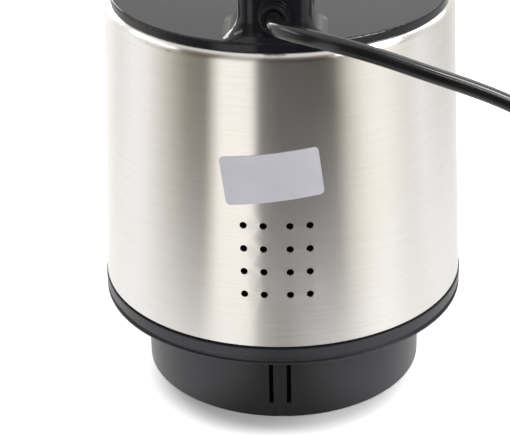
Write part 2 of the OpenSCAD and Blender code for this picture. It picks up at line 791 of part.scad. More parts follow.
module micro_switches() color([0.1, 0.1, 0.11]) at_buttons() {
    difference() {
        translate([-switch_size[0] / 2 + switch_offset, -switch_size[1] / 2, switch_z]) cube(switch_size);
        translate([0, 0, switch_top - plunger_sunk - plunger_ratio * button_travel - 0.3])
            cylinder(h = 10, r = plunger_r + 0.1, $fn = hole_fn);
        for (x = [-1, 1]) translate([switch_offset + x * 4.75, 0, switch_z + 2.8])
            bar_y(1.2, -10, 10);
    }
}

module switch_plunger(y) {
    translate([0, y, switch_top - plunger_sunk])
        cylinder(h = plunger_top - switch_top + plunger_sunk, r = plunger_r, $fn = hole_fn);
}

module switch_plunger_low() color("firebrick") switch_plunger(button_y[0]);

module switch_plunger_high() color("firebrick") switch_plunger(button_y[1]);

module at_board_pegs() {
    for (x = [-peg_x, peg_x], z = [board_z + peg_inset, board_z + board_h - peg_inset])
        translate([x, 0, z]) children();
}

// Speed and suppression board on its four pegs in the front post
module circuit_board() color([0.1, 0.35, 0.2]) translate([0, board_y, 0]) {
    difference() {
        translate([-board_w / 2, 0, board_z]) cube([board_w, board_t, board_h]);
        at_board_pegs() bar_y(1, -1, board_t + 1);
    }
    // Suppression capacitor, speed diode and terminal block
    translate([0, board_t, board_z]) {
        translate([-7.5, 0, 7.5]) cube([15, 7, 12]);
        translate([-4, 1.6, board_h - 3]) rotate([0, 90, 0]) cylinder(h = 8, r = 1.6, $fn = hole_fn);
        translate([-4, 0, 1]) cube([8, 6, 5]);
    }
}

/* ---------- cord ---------- */

// Stepped bush: three ribs that get smaller outwards, and a cup round the cord in its mouth
module cable_bush() color([0.08, 0.08, 0.085]) translate([0, 0, bush_z]) difference() {
    neck_r = bush_hole_r - 0.1;
    rib = bush_out / 5;
    out_y = rear_face_y - bush_out;
    mouth_rib_r = bush_d / 2 - 2 * bush_step;
    union() {
        bar_y(neck_r, rear_face_y - rib / 2, rear_face_y + wall + 2);
        bar_y(mouth_rib_r - 0.4, out_y + rib / 2, rear_face_y - rib / 2);
        for (i = [0 : 2]) bar_y(mouth_rib_r + i * bush_step, out_y + 2 * i * rib,
            out_y + (2 * i + 1) * rib - (i == 2 ? 0.1 : 0));
        bar_y(neck_r + 1.2, rear_face_y + wall + 0.1, rear_face_y + wall + 2);
    }
    bar_y(cord_d / 2, out_y - 1, rear_face_y + wall + 5);
    bar_y(mouth_rib_r - 0.6, out_y - 1, out_y + rib);
    bar_y(cord_d / 2 + 0.9, out_y - 1, out_y + 2 * rib);
}

// The end of the cord inside the bush and under the clamp
module cord_tail() color([0.06, 0.06, 0.06]) translate([0, 0, bush_z])
    bar_y(cord_d / 2, rear_face_y - bush_out + 2, rear_y + 7.5);

module cord_clamp() color([0.3, 0.3, 0.3]) difference() {
    translate([-clamp_half, clamp_y - clamp_w / 2, bush_z + 0.3])
        cube([2 * clamp_half, clamp_w, cord_d / 2 + 2.5]);
    translate([0, 0, bush_z]) bar_y(cord_d / 2, rear_y - 10, rear_y + 10);
    for (x = [-1, 1]) translate([x * clamp_screw_x, clamp_y, bush_z - 1])
        cylinder(h = 20, r = 1.4, $fn = hole_fn);
}

module clamp_screws() color("silver") {
    length = 13;
    for (x = [-1, 1])
        translate([x * clamp_screw_x, clamp_y, bush_z + 0.3 + cord_d / 2 + 2.5 - length])
            screw(1, length, 2.2, 1.4);
}

module cord() color([0.06, 0.06, 0.06]) swept_tube(cord_route, cord_d / 2, 10);

// Outer shape of the wound length, and the short straight stretch on to the plug
module cord_coil() color([0.06, 0.06, 0.06]) {
    ease = cord_d / 2;
    translate([coil_centre[0], coil_centre[1], 0]) rotate_extrude()
        polygon([[coil_r0, ease], [coil_r0 + ease, 0], [coil_r1 - ease, 0], [coil_r1, ease],
                 [coil_r1, coil_h - ease], [coil_r1 - ease, coil_h], [coil_r0 + ease, coil_h],
                 [coil_r0, coil_h - ease]]);
    translate([plug_x, 0, plug_axis_z]) bar_y(cord_d / 2, coil_centre[1], plug_y);
}

module plug_body() color([0.07, 0.07, 0.07]) translate([plug_x, plug_y, plug_axis_z]) {
    rib_pitch = relief_l / 6;
    rotate([-90, 0, 0]) {
        for (i = [0 : 5]) translate([0, 0, i * rib_pitch])
            cylinder(h = rib_pitch * 0.7, r = cord_d / 2 + 1.2 + i * 0.35);
        cylinder(h = relief_l + 1, r1 = cord_d / 2 + 0.5, r2 = cord_d / 2 + 2.2);
        translate([0, 0, relief_l]) linear_extrude(plug_l) rounded_rect(plug_w, plug_t, 6);
    }
}

module plug_pins() color("gold") for (s = [-1, 1])
    translate([plug_x + s * 6.35 - 0.75, plug_y + relief_l + plug_l, plug_axis_z - 3.2])
        difference() {
            cube([1.5, pin_l, 6.4]);
            translate([-1, pin_l - 5, 3.2]) rotate([0, 90, 0]) cylinder(h = 4, r = 1.5, $fn = hole_fn);
        }

/* ---------- gearbox ---------- */

// Disc with four ears for the motor bolts
module eared_disc(r) {
    circle(r);
    at_bolts() circle(post_r + 0.5, $fn = hole_fn);
}

module gearbox_housing() color([0.55, 0.56, 0.58]) difference() {
    union() {
        translate([0, 0, gearbox_z])
            cylinder(h = gearbox_top - bolt_grip - gearbox_z, r = gearbox_r);
        translate([0, 0, gearbox_top - bolt_grip]) linear_extrude(bolt_grip) eared_disc(gearbox_r);
        translate([0, 0, hub_z]) cylinder(h = gearbox_z - hub_z + 1, r = hub_r);
        at_gearbox_mounts() translate([0, 0, gearbox_z])
            cylinder(h = mount_lug_h, r = mount_lug_r, $fn = hole_fn);
        for (a = [0 : 90 : 270]) rotate(a)
            translate([gearbox_r - 2, -mount_lug_r, gearbox_z])
                cube([mount_at - gearbox_r + 2, 2 * mount_lug_r, mount_lug_h]);
    }
    translate([0, 0, gearbox_z + gearbox_floor])
        cylinder(h = gearbox_top - gearbox_z, r = ring_outer_r + assembly_gap / 4);
    translate([0, 0, hub_z - 1]) cylinder(h = gearbox_z - hub_z + 1, r = output_bearing_r);
    translate([0, 0, gearbox_z - 1]) cylinder(h = gearbox_floor + 2, r = output_r + 2);
    at_gearbox_mounts() translate([0, 0, gearbox_z - 1])
        cylinder(h = mount_lug_h + 2, r = screw_r + 0.2, $fn = hole_fn);
    at_bolts() translate([0, 0, gearbox_top - bolt_grip + 1])
        cylinder(h = bolt_grip, r = bolt_r, $fn = hole_fn);
}

// Keeps the ring gear off the floor of the housing, so its teeth meet the planets
module ring_gear() color([0.85, 0.83, 0.76]) translate([0, 0, gearbox_z + gearbox_floor]) {
    h = gearbox_top - gearbox_z - gearbox_floor - 0.2;
    low = gear_z - 0.3 - gearbox_z - gearbox_floor;
    difference() {
        cylinder(h = h, r = ring_outer_r);
        translate([0, 0, low]) linear_extrude(h)
            rotate(180 / ring_teeth) polygon(gear_outline(ring_teeth, dedendum, addendum, -backlash / 2));
        translate([0, 0, -1]) cylinder(h = low + 2, r = carrier_r + 0.8);
    }
}

module rubber_dampers() color([0.1, 0.1, 0.1]) at_gearbox_mounts() translate([0, 0, floor_z])
    difference() {
        cylinder(h = damper_h, r = mount_lug_r, $fn = 48);
        translate([0, 0, -1]) cylinder(h = damper_h + 2, r = screw_r + 0.2, $fn = hole_fn);
    }

module gearbox_screws() color("silver") {
    length = mount_lug_h + damper_h + floor_t + 5.5;
    at_gearbox_mounts() translate([0, 0, gearbox_z + mount_lug_h - length])
        screw(pilot_r, length, 3.4, 2.2);
}

// Ball bearing: two rings, a shield between them, running clearance inside
module ball_bearing(r0, r1, h) {
    depth = (r1 - r0) * 0.28;
    difference() {
        ring(r0 + running_clearance, r1, h);
        for (z = [-1, h - 0.4]) translate([0, 0, z]) ring(r0 + depth, r1 - depth, 1.4);
    }
}

module output_bearing() color("silver") translate([0, 0, gearbox_z - output_bearing_h])
    ball_bearing(output_r, output_bearing_r, output_bearing_h);

module circlip() color("dimgray") translate([0, 0, gearbox_z - output_bearing_h - circlip_t])
    difference() {
        ring(output_bearing_r - 2, output_bearing_r, circlip_t);
        translate([0, -2, -1]) cube([output_bearing_r + 1, 4, circlip_t + 2]);
    }

module shaft_seal() color([0.12, 0.12, 0.12])
    translate([0, 0, gearbox_z - output_bearing_h - circlip_t - seal_h]) rotate_extrude()
        polygon([[output_bearing_r, 0], [output_bearing_r, seal_h], [output_bearing_r - 1.5, seal_h],
                 [output_bearing_r - 1.5, 1.2], [output_r + 2, 1.2], [output_r + 0.9, seal_h - 0.6],
                 [output_r + running_clearance, seal_h - 0.6], [output_r + 0.8, 0]]);

module planet_carrier() color([0.62, 0.63, 0.65]) difference() {
    drive_z = coupling_z + socket_depth + 2;
    union() {
        translate([0, 0, carrier_z]) cylinder(h = carrier_t, r = carrier_r);
        translate([0, 0, coupling_top]) cylinder(h = carrier_z - coupling_top + 1, r = output_r);
        intersection() {
            translate([0, 0, drive_z]) cylinder(h = coupling_top - drive_z + 1, r = output_r);
            translate([0, 0, drive_z]) cylinder(h = coupling_top - drive_z + 1, r = output_r * 1.06, $fn = 6);
        }
    }
    for (a = [0 : 120 : 240]) rotate(a) {
        translate([planet_at, 0, carrier_z - 1]) cylinder(h = carrier_t + 2, r = planet_pin_r, $fn = 48);
        rotate(60) translate([planet_at, 0, carrier_z - 1]) cylinder(h = carrier_t + 2, r = 4.5, $fn = 48);
    }
    translate([0, 0, drive_z - 1]) cylinder(h = 14, r = 2, $fn = hole_fn);
}

module planet_pins() color("silver") for (a = [0 : 120 : 240]) rotate(a)
    translate([planet_at, 0, carrier_z])
        cylinder(h = gear_z + face_w + 1 - carrier_z, r = planet_pin_r, $fn = 48);

module planet_gear(i) {
    rotate(120 * i) translate([planet_at, 0, gear_z]) rotate(180 / planet_teeth) difference() {
        linear_extrude(face_w) polygon(gear_outline(planet_teeth, addendum, dedendum, backlash / 2));
        translate([0, 0, -1]) cylinder(h = face_w + 2, r = planet_pin_r + running_clearance, $fn = 48);
        for (z = [-1, face_w - 1]) translate([0, 0, z])
            ring(planet_pin_r + 2, planet_pitch_r - dedendum - 1.5, 2);
    }
}

module planet_gear_1() color([0.88, 0.86, 0.8]) planet_gear(0);

module planet_gear_2() color([0.88, 0.86, 0.8]) planet_gear(1);

module planet_gear_3() color([0.88, 0.86, 0.8]) planet_gear(2);

module output_coupling() color([0.85, 0.2, 0.12]) difference() {
    socket_r = socket_flats / 2 / cos(30);
    drive_z = coupling_z + socket_depth + 2;
    union() {
        translate([0, 0, coupling_z]) cylinder(h = socket_depth + 2, r = coupling_r);
        translate([0, 0, drive_z - 1]) cylinder(h = coupling_top - drive_z + 1, r = output_r + 4);
        for (a = [0 : 60 : 300]) rotate(a)
            translate([output_r + 1, -0.8, drive_z - 1])
                cube([coupling_r - output_r - 2, 1.6, (coupling_top - drive_z) * 0.6]);
    }
    translate([0, 0, coupling_z - 1]) cylinder(h = socket_depth + 1, r = socket_r, $fn = 6);
    translate([0, 0, coupling_z - 1]) cylinder(h = 2, r1 = socket_r + 1.2, r2 = socket_r - 0.8);
    translate([0, 0, coupling_z]) cylinder(h = 20, r = 2.3, $fn = hole_fn);
    intersection() {
        translate([0, 0, drive_z]) cylinder(h = 100, r = output_r);
        translate([0, 0, drive_z]) cylinder(h = 100, r = output_r * 1.06, $fn = 6);
    }
}

module coupling_screw() color("silver") {
    length = 12;
    drive_z = coupling_z + socket_depth + 2;
    translate([0, 0, drive_z - 2 + length]) rotate([180, 0, 0]) screw(2, length, 4, 2.4);
}

/* ---------- motor ---------- */

module at_bolts() {
    for (a = [45 : 90 : 315]) rotate(a) translate([bolt_at, 0, 0]) children();
}

module sun_gear() color([0.62, 0.63, 0.65]) translate([0, 0, gear_z]) difference() {
    linear_extrude(face_w + 0.5) polygon(gear_outline(sun_teeth, addendum, dedendum, backlash / 2));
    translate([0, 0, -1]) cylinder(h = face_w + 3, r = shaft_r, $fn = 48);
}

module motor_shaft() color("silver") translate([0, 0, gear_z - 0.2])
    cylinder(h = motor_top + 2 - gear_z + 0.2, r = shaft_r, $fn = 48);

// Lower end frame: closes the gearbox, holds the lower bearing and carries the stator on four posts
module lower_bracket() color([0.7, 0.71, 0.72]) {
    z = gearbox_top + assembly_gap / 4;
    difference() {
        union() {
            translate([0, 0, z]) linear_extrude(bracket_t) eared_disc(bracket_r);
            translate([0, 0, z + 1])
                cylinder(h = bracket_t + bearing_h - 1.5, r = bearing_r + bearing_wall);
            at_bolts() translate([0, 0, z + 1])
                cylinder(h = stack_z - z - 1, r = post_r, $fn = hole_fn);
            for (a = [45 : 90 : 315]) rotate(a)
                translate([bearing_r, -2, z + 1]) cube([bolt_at - bearing_r, 4, bracket_t + 2]);
        }
        translate([0, 0, z + bracket_t]) cylinder(h = 20, r = bearing_r);
        translate([0, 0, z - 1]) cylinder(h = 20, r = sun_pitch_r + addendum + 0.8);
        at_bolts() translate([0, 0, z - 1]) cylinder(h = 200, r = bolt_r, $fn = hole_fn);
    }
}

module lower_bearing() color("silver") translate([0, 0, gearbox_top + assembly_gap / 4 + bracket_t])
    ball_bearing(shaft_r, bearing_r, bearing_h);

module cooling_fan() color([0.2, 0.2, 0.22]) translate([0, 0, fan_z]) {
    disc_t = 1.6;
    hub = shaft_r + 5;
    blade_r = fan_r * 0.55;
    difference() {
        union() {
            cylinder(h = disc_t, r = fan_r);
            cylinder(h = fan_h, r = hub, $fn = 48);
            linear_extrude(fan_h) for (i = [0 : fan_blades - 1]) rotate(i * 360 / fan_blades)
                intersection() {
                    translate([(hub + fan_r) / 2, blade_r]) difference() {
                        circle(blade_r + 0.7);
                        circle(blade_r - 0.7);
                    }
                    ring_sector(hub - 0.5, fan_r - 0.5, -34, 50);
                }
        }
        translate([0, 0, -1]) cylinder(h = fan_h + 2, r = shaft_r, $fn = 48);
    }
}

module at_slots() {
    for (i = [0 : slot_count - 1]) rotate(i * 360 / slot_count) children();
}

module armature_core() color([0.45, 0.46, 0.48]) translate([0, 0, stack_z])
    linear_extrude(stack_h) difference() {
        circle(armature_r);
        circle(shaft_r, $fn = 48);
        at_slots() {
            translate([slot_at, 0]) circle(2.9, $fn = hole_fn);
            translate([slot_at, -1]) square([10, 2]);
        }
    }

// Winding head above the stack, with its outer edge rounded
module winding_head() rotate_extrude() {
    inner = shaft_r + 0.4;
    outer = slot_at + 3;
    round_r = 2;
    translate([inner, 0]) square([outer - round_r - inner, winding_h]);
    translate([inner, 0]) square([outer - inner, winding_h - round_r]);
    translate([outer - round_r, winding_h - round_r]) circle(round_r, $fn = 48);
}

module armature_winding() color([0.72, 0.38, 0.18]) {
    at_slots() translate([slot_at, 0, stack_z - 0.5])
        cylinder(h = stack_h + 1, r = 2.75, $fn = hole_fn);
    translate([0, 0, stack_top]) winding_head();
    translate([0, 0, stack_z]) mirror([0, 0, 1]) winding_head();
}

module commutator() color([0.75, 0.45, 0.25]) translate([0, 0, commutator_z]) difference() {
    union() {
        cylinder(h = commutator_h, r = commutator_r);
        translate([0, 0, -1.4]) cylinder(h = 3, r = commutator_r + 1.4);
    }
    translate([0, 0, -3]) cylinder(h = commutator_h + 5, r = shaft_r, $fn = 48);
    for (i = [0 : 2 * slot_count - 1]) rotate(i * 180 / slot_count)
        translate([commutator_r - 0.8, -0.25, -3]) cube([5, 0.5, commutator_h + 5]);
}

module stator_laminations() color([0.5, 0.51, 0.53]) translate([0, 0, stack_z])
    linear_extrude(stack_h) difference() {
        intersection() {
            circle(stator_r);
            square(1.82 * stator_r, center = true);
        }
        circle(pole_gap_r);
        for (a = [0, 180]) rotate(a) {
            ring_sector(pocket_r0, pocket_r1, -42, 42);
            ring_sector(pole_gap_r - 1, pocket_r0 + 1, -24, 24);
        }
        for (a = [45 : 90 : 315]) rotate(a) translate([bolt_at, 0]) circle(bolt_r + 0.2, $fn = hole_fn);
    }

// Each coil runs up one pocket, over its pole and down the other pocket
module field_coils() color([0.78, 0.42, 0.2]) for (a = [0, 180]) rotate(a) {
    r0 = pocket_r0 + 0.5;
    r1 = pocket_r1 - 0.5;
    for (s = [0, 1]) mirror([s, 0, 0]) translate([0, 0, stack_z - 1])
        linear_extrude(stack_h + 2) ring_sector(r0, r1, 5, 40);
    for (z = [stack_z - winding_h, stack_top + 0.6]) translate([0, 0, z])
        linear_extrude(winding_h - 0.6) difference() {
            intersection() {
                difference() {
                    circle(r1);
                    circle(r0);
                }
                translate([-r1, 2.6]) square([2 * r1, r1]);
            }
        }
}

module upper_bracket() color([0.16, 0.17, 0.19]) difference() {
    arm_w = 14;
    union() {
        translate([0, 0, upper_z]) linear_extrude(bracket_t) {
            eared_disc(bearing_r + bearing_wall + 5);
            for (a = [45 : 90 : 315]) rotate(a) translate([0, -3.5]) square([bolt_at, 7]);
        }
        translate([0, 0, upper_z + 1])
            cylinder(h = bracket_t + bearing_h - 1.5, r = bearing_r + bearing_wall);
        at_bolts() translate([0, 0, stack_top])
            cylinder(h = upper_z - stack_top, r = post_r, $fn = hole_fn);
        // Cross arms that hold the brush holders from above
        for (s = [0, 180]) rotate(s)
            translate([commutator_r + 2, -arm_w / 2, brush_z - 5])
                cube([holder_len - 1, arm_w, upper_z - brush_z + 6]);
    }
    translate([0, 0, upper_z + bracket_t]) cylinder(h = 20, r = bearing_r);
    translate([0, 0, upper_z - 1]) cylinder(h = 20, r = shaft_r + 2);
    at_bolts() translate([0, 0, stack_top - 1]) cylinder(h = 100, r = bolt_r, $fn = hole_fn);
    for (s = [0, 180]) rotate(s)
        translate([commutator_r, -brush_size[1] / 2 - holder_wall, brush_z - brush_size[2] / 2 - holder_wall])
            cube([holder_len + 20, brush_size[1] + 2 * holder_wall, brush_size[2] + 2 * holder_wall]);
}

module upper_bearing() color("silver") translate([0, 0, upper_z + bracket_t])
    ball_bearing(shaft_r, bearing_r, bearing_h);

module at_brushes() {
    for (s = [0, 180]) rotate(s) translate([0, 0, brush_z]) children();
}

module brush_holders() color([0.8, 0.65, 0.3]) at_brushes() {
    w = brush_size[1] + 2 * holder_wall;
    h = brush_size[2] + 2 * holder_wall;
    x0 = commutator_r + 2;
    difference() {
        translate([x0, -w / 2, -h / 2]) cube([holder_len, w, h]);
        translate([x0 - 1, -w / 2 + holder_wall - 0.1, -h / 2 + holder_wall - 0.1])
            cube([holder_len - holder_wall + 1, brush_size[1] + 0.2, brush_size[2] + 0.2]);
    }
}

module carbon_brushes() color([0.15, 0.15, 0.16]) at_brushes() difference() {
    translate([commutator_r - 1, -brush_size[1] / 2, -brush_size[2] / 2])
        cube([brush_size[0] + 1, brush_size[1], brush_size[2]]);
    cylinder(h = 2 * brush_size[2], r = commutator_r + 0.1, center = true);
}

module brush_springs() color("silver") at_brushes() {
    x0 = commutator_r + brush_size[0] + 0.1;
    x1 = commutator_r + 2 + holder_len - holder_wall - 0.1;
    translate([x0, 0, 0]) rotate([0, 90, 0]) coil_spring(2.2, 0.6, x1 - x0, 4);
}

module motor_bolts() color("dimgray") at_bolts() {
    tip_z = gearbox_top - bolt_grip + 1.5;
    head_z = upper_z + bracket_t;
    translate([0, 0, tip_z]) cylinder(h = head_z - tip_z, r = bolt_r, $fn = hole_fn);
    translate([0, 0, head_z]) cylinder(h = 3, r = 3.8, $fn = 6);
}

steel_sleeve();
rating_label();
base_housing();
base_plate();
base_screws();
top_cover();
housing_screws();
handle_cover();
handle_screws();
button_low();
button_high();
button_spring_low();
button_spring_high();
switch_carrier();
micro_switches();
switch_plunger_low();
switch_plunger_high();
circuit_board();
cable_bush();
cord_tail();
cord_clamp();
clamp_screws();
cord();
cord_coil();
plug_body();
plug_pins();
gearbox_housing();
rubber_dampers();
gearbox_screws();
output_bearing();
shaft_seal();
circlip();
ring_gear();
planet_carrier();
planet_pins();
planet_gear_1();
planet_gear_2();
planet_gear_3();
output_coupling();
coupling_screw();
sun_gear();
motor_shaft();
cooling_fan();
armature_core();
armature_winding();
commutator();
lower_bracket();
lower_bearing();
stator_laminations();
field_coils();
upper_bracket();
upper_bearing();
brush_holders();
carbon_brushes();
brush_springs();
motor_bolts();
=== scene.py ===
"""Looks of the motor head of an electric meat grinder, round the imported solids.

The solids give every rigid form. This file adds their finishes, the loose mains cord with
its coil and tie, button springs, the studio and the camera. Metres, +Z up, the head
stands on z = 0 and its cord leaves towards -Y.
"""

import json
import math

import bmesh
import bpy
from bpy.props import FloatProperty, FloatVectorProperty, IntProperty, PointerProperty
from mathutils import Matrix, Quaternion, Vector


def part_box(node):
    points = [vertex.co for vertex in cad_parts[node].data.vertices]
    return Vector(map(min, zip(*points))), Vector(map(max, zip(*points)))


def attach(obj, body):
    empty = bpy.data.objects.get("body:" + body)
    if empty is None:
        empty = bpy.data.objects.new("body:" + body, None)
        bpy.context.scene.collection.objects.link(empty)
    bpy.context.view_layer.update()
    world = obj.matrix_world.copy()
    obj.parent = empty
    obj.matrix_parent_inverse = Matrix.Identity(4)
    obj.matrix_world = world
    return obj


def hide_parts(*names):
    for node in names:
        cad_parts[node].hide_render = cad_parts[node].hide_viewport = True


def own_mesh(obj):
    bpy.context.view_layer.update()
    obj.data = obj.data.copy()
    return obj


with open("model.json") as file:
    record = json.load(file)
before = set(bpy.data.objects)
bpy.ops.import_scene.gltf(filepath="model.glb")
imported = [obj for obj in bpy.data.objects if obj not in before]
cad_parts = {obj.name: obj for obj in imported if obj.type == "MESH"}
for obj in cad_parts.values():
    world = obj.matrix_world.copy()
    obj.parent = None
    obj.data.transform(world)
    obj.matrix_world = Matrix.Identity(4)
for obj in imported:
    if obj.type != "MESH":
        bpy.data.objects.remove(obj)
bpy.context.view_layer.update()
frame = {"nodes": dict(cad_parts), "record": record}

bl_info = {
    "name": "Grinder Motor Head",
    "version": (1, 0, 0),
    "blender": (4, 5, 0),
    "location": "3D View > Sidebar > Grinder Head",
    "description": "Finishes, mains cord and studio for the motor head of a meat grinder",
    "category": "Object",
}

SLOT_OF = {part["node"]: part["material_slot"] for part in frame["record"]["subparts"]}

# ---------------------------------------------------------------- settings


class HeadSizes(bpy.types.PropertyGroup):
    """Sizes of the pieces that this file makes"""

    cord_diameter: FloatProperty(
        name="Cord diameter", description="Outside of the round mains cord",
        default=0.0062, min=0.005, max=0.008, unit="LENGTH")
    coil_outer: FloatProperty(
        name="Coil radius", description="Centre line radius of the coil's outermost turn",
        default=0.042, min=0.038, max=0.060, unit="LENGTH")
    coil_turns: IntProperty(
        name="Turns on the floor", description="Turns of the cord's lower layer",
        default=2, min=1, max=3)
    tie_width: FloatProperty(
        name="Tie width", description="Width of the strap that holds the coil",
        default=0.008, min=0.004, max=0.012, unit="LENGTH")
    grain: FloatProperty(
        name="Brush line spacing", description="Typical distance between brush lines in the steel",
        default=0.00035, min=0.0001, max=0.001, unit="LENGTH")


class HeadColours(bpy.types.PropertyGroup):
    """Colours that a user would change"""

    steel: FloatVectorProperty(
        name="Steel", description="Brushed steel of the sleeve", subtype="COLOR",
        size=3, default=(0.890, 0.876, 0.856), min=0, max=1)
    cover: FloatVectorProperty(
        name="Cover and handle", description="Polished plastic", subtype="COLOR",
        size=3, default=(0.012, 0.012, 0.016), min=0, max=1)
    collar: FloatVectorProperty(
        name="Collar", description="Satin plastic of the base", subtype="COLOR",
        size=3, default=(0.024, 0.025, 0.030), min=0, max=1)
    label: FloatVectorProperty(
        name="Label", description="Bare foil label", subtype="COLOR",
        size=3, default=(0.60, 0.59, 0.64), min=0, max=1)
    cord: FloatVectorProperty(
        name="Cord", description="Soft PVC of the cord", subtype="COLOR",
        size=3, default=(0.010, 0.010, 0.011), min=0, max=1)


def sizes():
    """The sizes in use."""
    return bpy.context.scene.grinder_head_sizes


def colours():
    """The colours in use."""
    return bpy.context.scene.grinder_head_colours


# ---------------------------------------------------------------- shader nodes


class Nodes:
    """Short ways to add nodes to the shader tree of a material or a world."""

    def __init__(self, owner):
        owner.use_nodes = True
        self.tree = owner.node_tree

    def node(self, kind, inputs=None, **settings):
        """A node whose inputs take values or the outputs of other nodes."""
        made = self.tree.nodes.new("ShaderNode" + kind)
        for key, value in settings.items():
            setattr(made, key, value)
        for key, value in (inputs or {}).items():
            if isinstance(value, bpy.types.NodeSocket):
                self.tree.links.new(value, made.inputs[key])
            else:
                made.inputs[key].default_value = value
        return made

    def between(self, value, low, high, start=0.0, stop=1.0, **settings):
        """value mapped from start..stop to low..high."""
        return self.node(
            "MapRange",
            {"Value": value, "From Min": start, "From Max": stop, "To Min": low, "To Max": high},
            **settings).outputs["Result"]

    def combine(self, operation, first, second):
        """Two numbers joined by an operation of the Math node."""
        return self.node("Math", {0: first, 1: second}, operation=operation).outputs[0]

    def mix(self, share, first, second, **settings):
        """Colour that turns from first into second as share goes from 0 to 1."""
        return self.node(
            "Mix", {"Factor": share, "A": first, "B": second}, data_type="RGBA",
            **settings).outputs["Result"]


class Finish(Nodes):
    """The material of a slot under construction, with its one shader."""

    def __init__(self, slot, colour, roughness, metallic=0.0, edge=0.0, **sockets):
        self.material = bpy.data.materials.new("finish_" + slot)
        super().__init__(self.material)
        self.shader = self.tree.nodes["Principled BSDF"]
        self.colour = tuple(colour)
        self.edge = edge
        sockets.update(Base_Color=(*colour, 1), Roughness=roughness, Metallic=metallic)
        for socket, value in sockets.items():
            self.shader.inputs[socket.replace("_", " ")].default_value = value

    def place(self, scale=(1, 1, 1), turn=(0, 0, 0)):
        """Object coordinates times scale, then turned by radians about X, Y and Z."""
        coords = self.node("TexCoord").outputs["Object"]
        return self.node(
            "Mapping", {"Vector": coords, "Scale": scale, "Rotation": turn}).outputs["Vector"]

    def noise(self, vector, scale=1.0, detail=2.0, rough=0.5):
        """Cloudy level from 0 to 1, scale patches to the metre."""
        return self.node(
            "TexNoise", {"Vector": vector, "Scale": scale, "Detail": detail, "Roughness": rough},
        ).outputs["Fac"]

    def link(self, value, socket):
        """value drives that socket of the shader."""
        self.tree.links.new(value, self.shader.inputs[socket])

    def shade(self, value, dark, light, start=0.3, stop=0.7):
        """The base colour varies between dark and light times itself."""
        ramp = self.node("ValToRGB", {"Fac": value})
        stops = ramp.color_ramp.elements
        stops[0].position, stops[1].position = start, stop
        stops[0].color = (*(c * dark for c in self.colour), 1)
        stops[1].color = (*(min(c * light, 1) for c in self.colour), 1)
        self.link(ramp.outputs["Color"], "Base Color")
        return ramp.outputs["Color"]

    def stain(self, colour, where, tint):
        """The base colour is colour, multiplied by tint in the patches of where."""
        amount = self.between(where, 0.0, 1.0, start=0.48, stop=0.66)
        self.link(self.mix(amount, colour, (*tint, 1), blend_type="MULTIPLY"), "Base Color")

    def roughen(self, value, low, high, start=0.3, stop=0.7):
        """The roughness goes from low to high as value goes from start to stop."""
        self.link(self.between(value, low, high, start, stop), "Roughness")

    def bump(self, height, depth, strength=1.0):
        """height 0..1 stands for depth metres, on edges softened to the finish's radius."""
        inputs = {"Height": height, "Distance": depth, "Strength": strength}
        if self.edge:
            soft = self.node("Bevel", {"Radius": self.edge}, samples=8)
            inputs["Normal"] = soft.outputs["Normal"]
        self.link(self.node("Bump", inputs).outputs["Normal"], "Normal")


# ---------------------------------------------------------------- finishes


def brushed_steel(slot):
    """Sheet brushed round the sleeve: hair lines, broader and shorter streaks, and soft stains
    where the sheet was handled."""
    steel = Finish(
        slot, colours().steel, 0.25, metallic=1.0, Anisotropic=0.95, Anisotropic_Rotation=0.25)
    lines = steel.noise(steel.place((20, 20, 1 / sizes().grain)), detail=3.0, rough=0.7)
    streaks = steel.noise(steel.place((40, 40, 900)), detail=4.0, rough=0.7)
    clouds = steel.noise(steel.place((16, 16, 9)), detail=3.0)
    stains = steel.noise(steel.place((30, 30, 14), turn=(0, 0, 0.4)), detail=3.0)
    brushed = steel.between(steel.combine("ADD", lines, streaks), 0, 1, start=0.7, stop=1.3)
    even = steel.shade(brushed, 0.98, 1.02, start=0.2, stop=0.8)
    steel.stain(even, stains, (1.0, 0.985, 0.96))
    steel.roughen(clouds, 0.235, 0.275)
    steel.bump(lines, 0.000002, 0.4)
    round_z = steel.node("Tangent", direction_type="RADIAL", axis="Z")
    steel.link(round_z.outputs["Tangent"], "Tangent")
    return steel.material


def polished_plastic(slot, colour, roughness=0.06):
    """Polished ABS: a faint ripple from the mould, hairline scratches and dust in the gloss."""
    plastic = Finish(slot, colour, roughness, edge=0.0006, IOR=1.40)
    ripple = plastic.noise(plastic.place(), scale=55.0, detail=1.0)
    hair = plastic.noise(plastic.place((60, 1400, 300), turn=(0.3, 0.2, 0.7)), rough=0.6)
    dust = plastic.noise(plastic.place(), scale=900.0, detail=3.0, rough=0.7)
    plastic.roughen(hair, roughness * 0.8, roughness * 1.7, start=0.35, stop=0.75)
    plastic.shade(dust, 0.85, 1.5, start=0.45, stop=0.85)
    plastic.bump(ripple, 0.00004, 0.5)
    return plastic.material


def grained_plastic(slot, colour, roughness=0.42, grain=0.0004, depth=0.00003):
    """Moulding with a fine eroded grain and slightly uneven colour."""
    plastic = Finish(slot, colour, roughness, edge=0.0005, IOR=1.50)
    fine = plastic.noise(plastic.place(), scale=0.5 / grain, detail=3.0, rough=0.6)
    slow = plastic.noise(plastic.place(), scale=22.0, detail=3.0)
    plastic.shade(slow, 0.88, 1.12)
    plastic.roughen(fine, roughness * 0.86, roughness * 1.16)
    plastic.bump(fine, depth, 0.6)
    return plastic.material


def soft_pvc(slot, colour, roughness=0.17):
    """Extruded soft PVC: long low ripples and a greasy, slightly uneven gloss."""
    pvc = Finish(slot, colour, roughness, edge=0.0003, IOR=1.53)
    ripple = pvc.noise(pvc.place(), scale=130.0)
    haze = pvc.noise(pvc.place(), scale=38.0, detail=3.0)
    pvc.shade(haze, 0.85, 1.25)
    pvc.roughen(haze, roughness * 0.8, roughness * 1.35)
    pvc.bump(ripple, 0.00005, 0.4)
    return pvc.material


